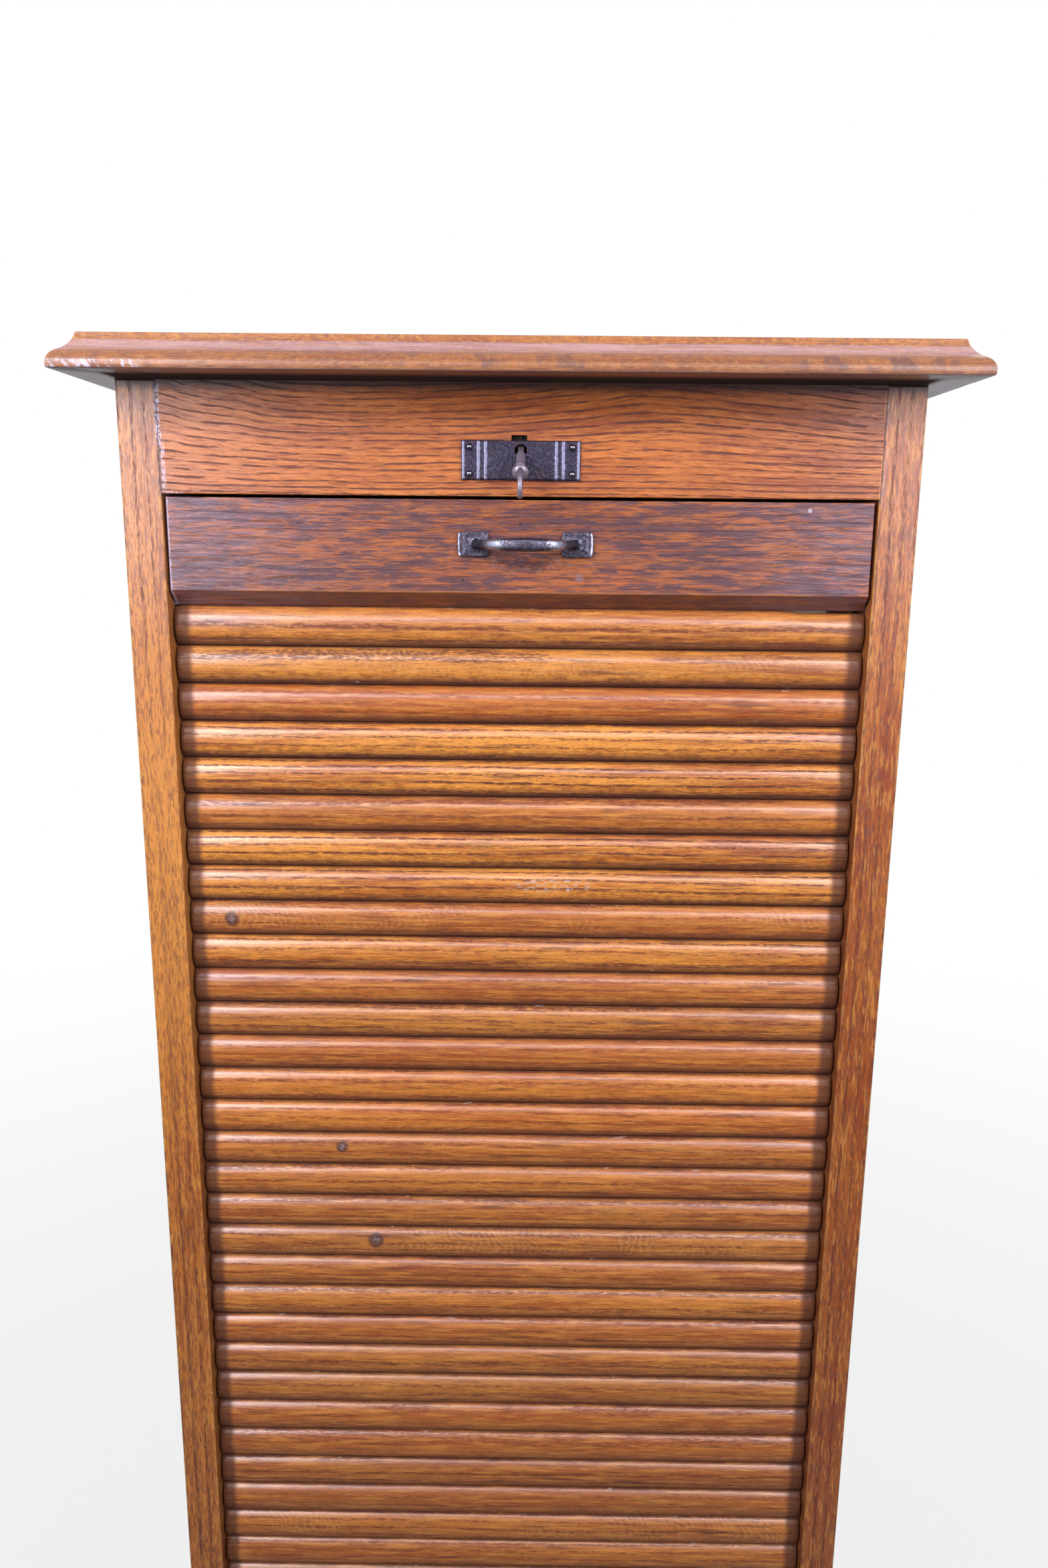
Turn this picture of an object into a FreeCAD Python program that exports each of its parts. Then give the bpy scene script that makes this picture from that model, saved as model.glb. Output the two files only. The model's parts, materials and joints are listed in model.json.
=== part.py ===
import FreeCAD, Part
import math
import os

from FreeCAD import Vector

# Roll front tool cabinet of oak. Millimetres, +Z up, front facing -Y.
# While the pieces are built, y = 0 is the front plane of the stiles and z = 0 is the floor.
# save() then moves every piece back, so that the origin is the middle of the footprint.

os.makedirs("parts", exist_ok=True)

# ---- Case
body_width = 460.0
body_depth = 380.0
case_height = 1200.0
top_thickness = 20.0
top_side_overhang = 20.4
top_front_overhang = 45.6
top_back_overhang = 6.0
# Moulded edge as (inset, height above the underside): a nose, then a hollow, then a small step.
top_moulding = ((0.0, 3.6), (0.9, 6.2), (4.8, 10.0), (9.6, 13.8), (11.9, 17.6), (12.4, 21.0))
stile_face = 23.0
stile_depth = 60.0
edge_round = 0.8

# ---- Side frames
side_top_rail_height = 60.0
side_middle_rail_height = 60.0
side_bottom_rail_height = 130.0
panel_groove_depth = 8.0
panel_groove_width = 6.0
panel_thickness = 5.6
panel_edge_gap = 1.0

# ---- Back
back_panel_thickness = 6.0
back_rabbet_width = 8.0
back_panel_gap = 0.3
back_top_rail_height = 50.0
back_top_rail_thickness = 22.0
inner_back_thickness = 6.0
inner_back_cleat = 12.0
inner_back_clearance = 3.4

# ---- Bottom and plinth
plinth_height = 95.0
plinth_thickness = 15.0
plinth_top_round = 5.0
bottom_board_thickness = 18.0
bottom_board_top = 110.0
bottom_board_front_gap = 6.6
board_side_gap = 0.3
bottom_cleat_width = 18.0
bottom_cleat_height = 18.0
bottom_cleat_margin = 10.0

# ---- Lock rail, the fixed rail under the top
lock_rail_height = 62.5
lock_rail_thickness = 20.0
lock_rail_skin = 5.2

# ---- Shutter
shutter_side_gap = 2.0
slat_side_gap = 1.2
shutter_top_gap = 1.8
lead_rail_set_back = 0.8
lead_rail_face_height = 53.2
lead_rail_chamfer_height = 9.2
lead_rail_chamfer_depth = 11.4
slat_pitch = 23.0
slat_gap = 0.4
slat_first_gap = 1.5
slat_valley = 12.8
slat_crown = 6.0
slat_tongue_thickness = 3.8
slat_tongue_length = 7.0
canvas_thickness = 0.8
canvas_side_margin = 22.0
canvas_lap = 40.0
groove_clearance = 0.4
groove_depth = 8.0
groove_bend_radius = 45.0
groove_bend_height = 60.0
groove_back_margin = 19.7
groove_end_margin = 1.0
handle_stop_gap = 8.15
stop_block_width = 30.0
stop_block_height = 17.0
stop_block_thickness = 5.6
stop_block_offset = 155.0
stop_gap = 0.8

# ---- Bow handle on the lead rail
handle_length = 79.0
handle_offset = 3.6
handle_drop = 25.2
handle_base_length = 18.4
handle_base_height = 14.7
handle_base_thickness = 3.0
handle_reach = 23.0
handle_bar_thickness = 5.0
handle_bar_foot = 6.75
handle_bar_height = 7.0
handle_bar_end_height = 4.4
handle_bar_inset = 8.0
handle_edge_round = 1.1
handle_screw_inset = 9.2
handle_screw_bite = 2.0

# ---- Lock, key and key plate
lock_offset = 0.6
key_drop = 37.1
plate_half_length = 34.2
plate_above_key = 5.6
plate_below_key = 16.4
plate_thickness = 1.5
plate_rib_height = 0.7
plate_rib_width = 2.2
plate_rib_places = (20.2, 24.3, 33.1)
plate_hole_radius = 3.7
plate_pin_x = 29.5
plate_pin_lifts = (1.9, -12.9)
pin_shank_radius = 1.0
pin_head_radius = 2.0
pin_length = 4.4
key_slot_width = 9.0
key_slot_shift = -1.0
key_slot_above_key = 8.6
key_slot_below_key = 5.1
lock_wall = 1.2
lock_selvedge = 2.0
lock_fit = 0.2
lock_cover_thickness = 1.4
lock_cover_margin = 8.0
lock_screw_inset = 3.6
lock_screw_lift = 2.0
lock_screw_length = 10.0
lock_room_right = 5.0
lock_room_above = 3.0
bolt_reach = 4.8
bolt_rest_gap = 0.5
bolt_claw_width = 3.0
bolt_thickness = 3.0
bolt_hub_radius = 8.0
bolt_arm_angles = (176.0, 198.0)
bolt_swing = 43.0
bolt_clearance = 0.5
bolt_setback = 9.3
spindle_radius = 4.0
spindle_collar_radius = 7.0
spindle_collar_length = 2.0
spindle_tail_radius = 2.5
spindle_socket = 3.6
spindle_socket_depth = 6.5
running_fit = 0.05
keeper_length = 38.0
keeper_width = 10.0
keeper_thickness = 1.5
keeper_screw_inset = 4.0
keeper_screw_length = 12.0
key_droop = 35.0
key_square = 3.2
key_square_inside = 5.5
key_stem_radius = 2.7
key_stem_length = 15.8
key_shoulder = 1.2
key_collar_radius = 4.7
key_collar_length = 3.4
key_bow_length = 20.0
key_bow_width = 16.0
key_bow_thickness = 3.0
key_bow_rim = 3.2
key_rest_gap = 0.15
key_bow_bite = 0.6

# ---- Trays and their runners
tray_count = 8
tray_lowest = 140.0
tray_top_gap = 5.0
tray_gap = 7.0
tray_set_back = 32.0
tray_side_gap = 1.5
tray_front_thickness = 14.0
tray_side_thickness = 11.0
tray_back_thickness = 10.0
tray_bottom_thickness = 5.0
tray_bottom_lift = 4.0
tray_side_drop = 21.0
tray_back_gap = 3.0
tray_notch_radius = 22.0
runner_height = 10.0
runner_width = 7.0
runner_slack = 0.3
runner_play = 0.5
runner_front_gap = 1.0
runner_end_inset = 2.0
runner_screw_inset = 6.5
runner_screw_tip_gap = 1.5

# ---- Top fastening
top_cleat_size = 20.0
top_cleat_margin = 4.0
top_screw_count = 3
back_screw_count = 8
back_screw_end = 60.0
back_rail_screw_count = 3
back_rail_screw_reach = 155.0
back_screw_bite = 8.0
top_screw_bite = 12.0
top_screw_inset = 40.0

# ---- Screws: (shank radius, head radius, head height)
small_screw = (1.2, 2.4, 1.4)
wood_screw = (1.7, 3.4, 2.0)
screw_fit = 0.05
screw_tip_room = 0.5

# ---- Values worked out from the sizes above
half_body = body_width / 2
inner_half = half_body - stile_face
back_stile_front = body_depth - stile_depth
frame_shift = (top_front_overhang - body_depth - top_back_overhang) / 2
slat_back = slat_valley + slat_tongue_thickness
canvas_back = slat_back + canvas_thickness
groove_middle = slat_valley + slat_tongue_thickness / 2
groove_half = slat_tongue_thickness / 2 + groove_clearance
groove_back_middle = body_depth - groove_back_margin
groove_floor = groove_bend_height - groove_bend_radius
lock_rail_bottom = case_height - lock_rail_height
lead_top = lock_rail_bottom - shutter_top_gap
lead_face_bottom = lead_top - lead_rail_face_height
lead_bottom = lead_face_bottom - lead_rail_chamfer_height
slat_top = lead_bottom - slat_first_gap
slat_count = int((slat_top - groove_bend_height) / slat_pitch + 0.02)
back_panel_front = body_depth - back_panel_thickness
back_screw_length = back_panel_thickness + back_screw_bite
inner_back_rear = groove_back_middle - slat_tongue_thickness / 2 - canvas_thickness - inner_back_clearance
inner_back_front = inner_back_rear - inner_back_thickness
cleat_front = inner_back_front - inner_back_cleat
handle_height = lead_top - handle_drop
shutter_travel = handle_height - handle_base_height / 2 - plinth_height - handle_stop_gap
key_height = case_height - key_drop
bolt_drop = lock_rail_height - key_drop
bolt_radius = bolt_drop + shutter_top_gap + bolt_reach
bolt_claw_end_angle = 180.0 + math.degrees(math.asin((bolt_drop - bolt_rest_gap) / bolt_radius))
runner_front = tray_set_back + tray_front_thickness + runner_front_gap
runner_rear = cleat_front - runner_end_inset
runner_screw_length = runner_width + (stile_face - panel_groove_width) / 2 - runner_screw_tip_gap
tray_rear = cleat_front - tray_back_gap
tray_half = inner_half - tray_side_gap
tray_pitch = (lock_rail_bottom - tray_top_gap - tray_lowest + tray_gap) / tray_count
tray_front_height = tray_pitch - tray_gap
tray_side_height = tray_front_height - tray_side_drop
tray_groove_height = runner_height + 2 * runner_slack
tray_groove_depth = runner_width - tray_side_gap + runner_play
tray_groove_low = (tray_side_height - tray_groove_height) / 2


def box(x0, x1, y0, y1, z0, z1):
    """Block between two corners."""
    return Part.makeBox(x1 - x0, y1 - y0, z1 - z0, Vector(x0, y0, z0))


def rod(start, along, length, radius):
    """Round bar from a point along a direction."""
    return Part.makeCylinder(radius, length, start, along)


def closed_face(edges):
    return Part.Face(Part.Wire(edges))


def polygon_prism(points, along):
    """Prism whose outline is a polygon and whose sides run along a vector."""
    corners = [Vector(*p) for p in points]
    return Part.Face(Part.makePolygon(corners + corners[:1])).extrude(along)


def line(a, b):
    return Part.LineSegment(a, b).toShape()


def arc(a, middle, b):
    return Part.Arc(a, middle, b).toShape()


def cut_all(shape, tools):
    return shape.cut(Part.makeCompound(tools)) if tools else shape


def mirrored(shape):
    """The same piece on the other side of the cabinet."""
    return shape.mirror(Vector(0, 0, 0), Vector(1, 0, 0))


def solids_of(shape):
    return shape.Solids if shape.Solids else [shape]


def save(node, *shapes):
    """Write one node, moved so that the origin is the middle of the footprint."""
    solids = [s for shape in shapes for s in solids_of(shape)]
    whole = solids[0] if len(solids) == 1 else Part.makeCompound(solids)
    whole = whole.copy()
    whole.translate(Vector(0, frame_shift, 0))
    whole.exportStep("parts/" + node + ".step")


def rounded(shape, radius, test):
    """Fillet the straight edges whose two ends both pass a test."""
    chosen = [
        e for e in shape.Edges
        if len(e.Vertexes) == 2 and test(e.Vertexes[0].Point, e.Vertexes[1].Point)
    ]
    return shape.makeFillet(radius, chosen) if chosen else shape


def on_plane(axis, value):
    """Test for an edge that lies in the plane where one coordinate has a value."""
    return lambda a, b: abs(a[axis] - value) < 1e-6 and abs(b[axis] - value) < 1e-6


def screw(start, along, length, kind, sunk):
    """Slot-free round-head screw. A sunk head lies below the surface at start, another one on it."""
    shank_radius, head_radius, head_height = kind
    head_start = start if sunk else start - along * head_height
    shank_start = head_start + along * head_height
    shank_end = start + along * length
    body = rod(shank_start, along, (shank_end - shank_start).Length, shank_radius)
    return rod(head_start, along, head_height, head_radius).fuse(body)


def screw_hole(start, along, length, kind, sunk):
    """What a screw needs cut away, with a little room round it and beyond its tip."""
    shank_radius, head_radius, head_height = kind
    hole = rod(start, along, length + screw_tip_room, shank_radius + screw_fit)
    if sunk:
        hole = hole.fuse(rod(start, along, head_height, head_radius + screw_fit))
    return hole


def screw_set(starts, along, length, kind, sunk):
    """Screws at several places, and the holes for them."""
    screws = [screw(p, along, length, kind, sunk) for p in starts]
    holes = [screw_hole(p, along, length, kind, sunk) for p in starts]
    return screws, holes


def spread(low, high, count):
    """Even places from low to high."""
    return [low + (high - low) * i / (count - 1) for i in range(count)]


# ---- Guide groove that the shutter runs in, on one side of the case
def groove_outline(half, grow):
    """One edge of the groove: down the front, round the bend, under the floor, round and up the back."""
    radius = groove_bend_radius + grow
    front = groove_middle - grow
    back = groove_back_middle + grow
    floor = groove_floor - grow
    bend_front = Vector(half, groove_middle + groove_bend_radius, groove_bend_height)
    bend_back = Vector(half, groove_back_middle - groove_bend_radius, groove_bend_height)
    slant = radius * math.sqrt(0.5)
    top = lock_rail_bottom + groove_end_margin
    p = [
        Vector(half, front, top),
        Vector(half, front, groove_bend_height),
        Vector(half, bend_front.y, floor),
        Vector(half, bend_back.y, floor),
        Vector(half, back, groove_bend_height),
        Vector(half, back, top),
    ]
    edges = [
        line(p[0], p[1]),
        arc(p[1], bend_front + Vector(0, -slant, -slant), p[2]),
        line(p[2], p[3]),
        arc(p[3], bend_back + Vector(0, slant, -slant), p[4]),
        line(p[4], p[5]),
    ]
    return edges, p[0], p[5]


def groove_tool():
    """The groove as a solid, on the side where x is positive."""
    start_x = inner_half - groove_depth
    outer, outer_start, outer_end = groove_outline(start_x, groove_half)
    inner, inner_start, inner_end = groove_outline(start_x, -groove_half)
    ends = [line(outer_end, inner_end), line(inner_start, outer_start)]
    face = closed_face(outer + [ends[0]] + inner[::-1] + [ends[1]])
    return face.extrude(Vector(2 * groove_depth, 0, 0))


# ---- Side frames: stiles, rails and panels
def panel_groove(y0, y1, z0, z1):
    """Groove of the side frame, centred in the thickness of stiles and rails."""
    middle = half_body - stile_face / 2
    return box(middle - panel_groove_width / 2, middle + panel_groove_width / 2, y0, y1, z0, z1)


def tray_runner_place(index):
    """Lower edge of a tray's runner."""
    return tray_lowest + index * tray_pitch + tray_groove_low + runner_slack


def runner_screw_starts():
    """Where the screws of one side's runners go in, on the side where x is positive."""
    starts = []
    for index in range(tray_count):
        z = tray_runner_place(index) + runner_height / 2
        for y in (runner_front + runner_screw_inset, runner_rear - runner_screw_inset):
            starts.append(Vector(inner_half - runner_width, y, z))
    return starts


def build_side():
    """One side frame with its stiles, rails, panels, runners and cleats, where x is positive."""
    groove = groove_tool()
    runner_screws, runner_holes = screw_set(
        runner_screw_starts(), Vector(1, 0, 0), runner_screw_length, wood_screw, True
    )
    front = box(inner_half, half_body, 0, stile_depth, 0, case_height)
    front = rounded(front, edge_round, on_plane(1, 0))
    panel_start = stile_depth - panel_groove_depth
    panel_end = back_stile_front + panel_groove_depth
    front = cut_all(front, [groove, panel_groove(panel_start, stile_depth, 0, case_height)])
    front = cut_all(front, runner_holes)
    rear = box(inner_half, half_body, back_stile_front, body_depth, 0, case_height)
    rabbet = box(inner_half - 1, inner_half + back_rabbet_width, back_panel_front, body_depth + 1,
                 -1, case_height + 1)
    rear = cut_all(rear, [groove, rabbet, panel_groove(back_stile_front, panel_end, 0, case_height)])
    rear = cut_all(rear, runner_holes + back_stile_holes())
    rails = []
    for z0, z1 in rail_places():
        rail = box(inner_half, half_body, stile_depth, back_stile_front, z0, z1)
        tongue = panel_groove(panel_start, panel_end, z0, z1)
        cuts = [groove]
        if z0 > 0:
            cuts.append(panel_groove(panel_start - 1, panel_end + 1, z0 - 1, z0 + panel_groove_depth))
        if z1 < case_height:
            cuts.append(panel_groove(panel_start - 1, panel_end + 1, z1 - panel_groove_depth, z1 + 1))
        rails.append(cut_all(rail.fuse(tongue), cuts))
    middle = half_body - stile_face / 2
    panels = []
    places = rail_places()
    reach = panel_groove_depth - panel_edge_gap
    for below, above in zip(places, places[1:]):
        panels.append(box(
            middle - panel_thickness / 2, middle + panel_thickness / 2,
            stile_depth - reach, back_stile_front + reach, below[1] - reach, above[0] + reach,
        ))
    runners = []
    for index in range(tray_count):
        z = tray_runner_place(index)
        runner = box(inner_half - runner_width, inner_half, runner_front, runner_rear, z, z + runner_height)
        runners.append(cut_all(runner, runner_holes[2 * index:2 * index + 2]))
    return front, rear, rails, panels, runners, runner_screws


def rail_places():
    """Lower and upper edge of the bottom, middle and top rail of a side."""
    top = case_height - side_top_rail_height
    middle = (side_bottom_rail_height + top - side_middle_rail_height) / 2
    return [(0, side_bottom_rail_height), (middle, middle + side_middle_rail_height), (top, case_height)]


# ---- Screws of the back panel
def back_screw_starts(side):
    x = side * (inner_half + back_rabbet_width / 2)
    heights = spread(back_screw_end, case_height - back_screw_end, back_screw_count)
    return [Vector(x, body_depth, z) for z in heights]


def back_rail_screw_starts():
    z = case_height - back_top_rail_height / 2
    places = spread(-back_rail_screw_reach, back_rail_screw_reach, back_rail_screw_count)
    return [Vector(x, body_depth, z) for x in places]


def back_stile_holes():
    return screw_set(back_screw_starts(1), Vector(0, -1, 0), back_screw_length, small_screw, True)[1]


def build_back():
    """Outer back panel, its top rail and its screws."""
    starts = back_screw_starts(1) + back_screw_starts(-1) + back_rail_screw_starts()
    screws, holes = screw_set(starts, Vector(0, -1, 0), back_screw_length, small_screw, True)
    half = inner_half + back_rabbet_width - back_panel_gap
    panel = box(-half, half, back_panel_front, body_depth, 0, case_height)
    rail = box(-inner_half, inner_half, back_panel_front - back_top_rail_thickness, back_panel_front,
               case_height - back_top_rail_height, case_height)
    return cut_all(panel, holes), cut_all(rail, holes[-back_rail_screw_count:]), screws


# ---- Top board with its moulded front and side edges
def edge_waste(length):
    """What the moulding plane takes off one edge. The edge lies along +X at y = 0, the board at y > 0."""
    corner = [Vector(0, inset, height) for inset, height in top_moulding]
    sky = max(top_thickness, corner[5].z) + 1
    above = [Vector(0, corner[5].y, sky), Vector(0, -2, sky), Vector(0, -2, corner[0].z)]
    edges = [
        arc(corner[0], corner[1], corner[2]), arc(corner[2], corner[3], corner[4]),
        line(corner[4], corner[5]), line(corner[5], above[0]), line(above[0], above[1]),
        line(above[1], above[2]), line(above[2], corner[0]),
    ]
    return closed_face(edges).extrude(Vector(length, 0, 0))


def build_top():
    """Top board, screwed from below through two cleats."""
    half = half_body + top_side_overhang
    front = -top_front_overhang
    rear = body_depth + top_back_overhang
    board = box(-half, half, front, rear, case_height, case_height + top_thickness)
    front_waste = edge_waste(2 * half + 4)
    front_waste.translate(Vector(-half - 2, front, case_height))
    side_waste = edge_waste(rear - front + 4)
    side_waste.rotate(Vector(0, 0, 0), Vector(0, 0, 1), 90)
    side_waste.translate(Vector(half, front - 2, case_height))
    cleat_front_y = stile_depth + top_cleat_margin
    cleat_rear_y = back_stile_front - top_cleat_margin
    cleat = box(inner_half - top_cleat_size, inner_half, cleat_front_y, cleat_rear_y,
                case_height - top_cleat_size, case_height)
    places = spread(cleat_front_y + top_screw_inset, cleat_rear_y - top_screw_inset, top_screw_count)
    starts = [Vector(inner_half - top_cleat_size / 2, y, case_height - top_cleat_size) for y in places]
    up = Vector(0, 0, 1)
    screws, holes = screw_set(starts, up, top_cleat_size + top_screw_bite, wood_screw, True)
    all_holes = holes + [mirrored(h) for h in holes]
    board = cut_all(board, [front_waste, side_waste, mirrored(side_waste)] + all_holes)
    cleat = cut_all(cleat, holes)
    return board, [cleat, mirrored(cleat)], screws + [mirrored(s) for s in screws]


# ---- Floor, inner back and plinth
def build_inside():
    """Bottom board on its cleats, and the inner back that keeps the trays off the shutter."""
    side_gap = board_side_gap
    low = bottom_board_top - bottom_board_thickness
    front = canvas_back + bottom_board_front_gap
    board = box(-inner_half + side_gap, inner_half - side_gap, front, inner_back_rear, low, bottom_board_top)
    cleat = box(inner_half - bottom_cleat_width, inner_half, stile_depth + bottom_cleat_margin,
                back_stile_front - bottom_cleat_margin, low - bottom_cleat_height, low)
    inner_back = box(-inner_half + side_gap, inner_half - side_gap, inner_back_front, inner_back_rear,
                     bottom_board_top, case_height - back_top_rail_height)
    upright = box(inner_half - inner_back_cleat, inner_half, cleat_front, inner_back_front,
                  bottom_board_top, case_height - back_top_rail_height)
    return board, [cleat, mirrored(cleat)], inner_back, [upright, mirrored(upright)]


def build_plinth():
    """Plinth board in front, one at each side, and the stop blocks behind the front board."""
    half = half_body + plinth_thickness
    front = box(-half, half, -plinth_thickness, 0, 0, plinth_height)
    front = rounded(front, plinth_top_round, lambda a, b: min(a.z, b.z) > plinth_height - 0.01
                    and max(a.y, b.y) < 0.01 - plinth_thickness)
    side = box(half_body, half, 0, body_depth, 0, plinth_height)
    side = rounded(side, plinth_top_round, lambda a, b: min(a.z, b.z) > plinth_height - 0.01
                   and min(a.x, b.x) > half - 0.01)
    top = lead_bottom - shutter_travel - stop_gap
    stop = box(stop_block_offset - stop_block_width / 2, stop_block_offset + stop_block_width / 2,
               0, stop_block_thickness, top - stop_block_height, top)
    return front, [side, mirrored(side)], [stop, mirrored(stop)]


# ---- Lock in the fixed rail
def sector(inner, outer, start_angle, end_angle, y0, y1):
    """Part of a flat ring round the spindle, angles counted from +X towards +Z."""
    def at(radius, angle):
        a = math.radians(angle)
        return Vector(lock_offset + radius * math.cos(a), y0, key_height + radius * math.sin(a))

    middle = (start_angle + end_angle) / 2
    edges = [
        arc(at(outer, start_angle), at(outer, middle), at(outer, end_angle)),
        line(at(outer, end_angle), at(inner, end_angle)),
        arc(at(inner, end_angle), at(inner, middle), at(inner, start_angle)),
        line(at(inner, start_angle), at(outer, start_angle)),
    ]
    return closed_face(edges).extrude(Vector(0, y1 - y0, 0))


lock_left = lock_offset - bolt_radius - bolt_clearance - lock_wall
lock_right = lock_offset + bolt_hub_radius + lock_room_right + lock_wall
lock_top = key_height + bolt_hub_radius + lock_room_above + lock_wall
lock_front = lock_rail_skin + lock_fit


def sweep_width(radius, drop):
    """How far left of the spindle a circle round it lies at a given depth below."""
    return math.sqrt(max(radius ** 2 - drop ** 2, 0))


def bolt_slot(top, bottom, right_gap):
    """Slot that lets the swinging claw through a level plate, left of the spindle."""
    left = lock_offset - sweep_width(bolt_radius, key_height - top) - bolt_clearance
    right = lock_offset - right_gap
    front = bolt_setback - bolt_clearance
    return box(left, right, front, front + bolt_thickness + 2 * bolt_clearance, bottom, top)


def lock_screw_starts():
    left = lock_left - lock_cover_margin + lock_screw_inset
    right = lock_right + lock_cover_margin - lock_screw_inset
    low = lock_rail_bottom + lock_screw_inset + lock_screw_lift
    high = lock_top + lock_cover_margin - lock_screw_inset
    y = lock_rail_thickness + lock_cover_thickness
    return [Vector(x, y, z) for x in (left, right) for z in (low, high)]


def build_lock():
    """Case let into the rail from behind, its cover and screws, the spindle and the swinging bolt."""
    back = Vector(0, 1, 0)
    forward = Vector(0, -1, 0)
    centre = Vector(lock_offset, 0, key_height)
    screws, holes = screw_set(lock_screw_starts(), forward, lock_screw_length, small_screw, False)
    case = box(lock_left, lock_right, lock_front, lock_rail_thickness, lock_rail_bottom, lock_top)
    hollow = box(lock_left + lock_wall, lock_right - lock_wall, lock_front + lock_wall,
                 lock_rail_thickness + 1, lock_rail_bottom + lock_selvedge, lock_top - lock_wall)
    slot_top = lock_rail_bottom + lock_selvedge
    arm_edge = math.radians(bolt_arm_angles[1] + bolt_swing - 180)
    arm_gap = (key_height - slot_top) / math.tan(arm_edge) - bolt_clearance
    slot = bolt_slot(slot_top, lock_rail_bottom - 1, arm_gap)
    bore = rod(centre + back * (lock_front - 1), back, lock_wall + 2, spindle_radius + running_fit)
    case = cut_all(case, [hollow, slot, bore])
    cover = box(lock_left - lock_cover_margin, lock_right + lock_cover_margin,
                lock_rail_thickness, lock_rail_thickness + lock_cover_thickness,
                lock_rail_bottom + 1, lock_top + lock_cover_margin)
    tail_bore = rod(centre + back * lock_rail_thickness, back, lock_cover_thickness + 1,
                    spindle_tail_radius + running_fit)
    cover = cut_all(cover, holes + [tail_bore])
    bolt_back = bolt_setback + bolt_thickness
    spindle = rod(centre + back * lock_front, back, bolt_back - lock_front, spindle_radius)
    spindle = spindle.fuse(rod(centre + back * bolt_back, back, spindle_collar_length, spindle_collar_radius))
    tail_start = bolt_back + spindle_collar_length
    tail_end = lock_rail_thickness + lock_cover_thickness
    spindle = spindle.fuse(rod(centre + back * tail_start, back, tail_end - tail_start, spindle_tail_radius))
    half = spindle_socket / 2
    socket = box(lock_offset - half, lock_offset + half, lock_front - 1, lock_front + spindle_socket_depth,
                 key_height - half, key_height + half)
    spindle = spindle.cut(socket).removeSplitter()
    bolt = rod(centre + back * bolt_setback, back, bolt_thickness, bolt_hub_radius)
    bolt = bolt.fuse(sector(bolt_hub_radius - 2, bolt_radius, *bolt_arm_angles, bolt_setback, bolt_back))
    claw_inner = bolt_radius - bolt_claw_width
    bolt = bolt.fuse(sector(claw_inner, bolt_radius, bolt_arm_angles[0], bolt_claw_end_angle,
                            bolt_setback, bolt_back))
    bolt = bolt.cut(rod(centre, back, bolt_back + 1, spindle_radius + running_fit)).removeSplitter()
    return case, cover, screws, holes, spindle, bolt


def plate_pin_starts():
    starts = []
    for side in (-1, 1):
        for lift in plate_pin_lifts:
            starts.append(Vector(lock_offset + side * plate_pin_x, -plate_thickness, key_height + lift))
    return starts


def pin(start):
    """Dome-headed pin driven in along +Y."""
    dome = Part.makeSphere(pin_head_radius, start)
    dome = dome.common(box(start.x - 5, start.x + 5, start.y - 5, start.y, start.z - 5, start.z + 5))
    return dome.fuse(rod(start, Vector(0, 1, 0), pin_length, pin_shank_radius)).removeSplitter()


def build_plate():
    """Key plate with raised ribs, a round keyhole and four pins."""
    x0 = lock_offset - plate_half_length
    x1 = lock_offset + plate_half_length
    z0 = key_height - plate_below_key
    z1 = key_height + plate_above_key
    plate = box(x0, x1, -plate_thickness, 0, z0, z1)
    for side in (-1, 1):
        for place in plate_rib_places:
            x = lock_offset + side * place
            plate = plate.fuse(box(x - plate_rib_width / 2, x + plate_rib_width / 2,
                                   -plate_thickness - plate_rib_height, 0, z0, z1))
    hole = rod(Vector(lock_offset, -plate_thickness - 1, key_height), Vector(0, 1, 0),
               plate_thickness + 2, plate_hole_radius)
    starts = plate_pin_starts()
    hole_length = pin_length + screw_tip_room
    pin_holes = [rod(p, Vector(0, 1, 0), hole_length, pin_shank_radius + screw_fit) for p in starts]
    plate = cut_all(plate, [hole] + pin_holes).removeSplitter()
    return plate, [pin(p) for p in starts], pin_holes


def build_lock_rail(lock_holes, pin_holes):
    """Fixed rail under the top, let out behind for the lock, with a wide slot for the key."""
    rail = box(-inner_half, inner_half, 0, lock_rail_thickness, lock_rail_bottom, case_height)
    lower_front = lambda a, b: on_plane(1, 0)(a, b) and on_plane(2, lock_rail_bottom)(a, b)
    rail = rounded(rail, edge_round, lower_front)
    pocket = box(lock_left - lock_fit, lock_right + lock_fit, lock_rail_skin, lock_rail_thickness + 1,
                 lock_rail_bottom - 1, lock_top + lock_fit)
    slot_x = lock_offset + key_slot_shift
    slot = box(slot_x - key_slot_width / 2, slot_x + key_slot_width / 2, -1, lock_rail_skin + 1,
               key_height - key_slot_below_key, key_height + key_slot_above_key)
    return cut_all(rail, [pocket, slot] + lock_holes + pin_holes)


key_lip_height = key_height - math.sqrt(plate_hole_radius ** 2 - (key_square / 2) ** 2)


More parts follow.
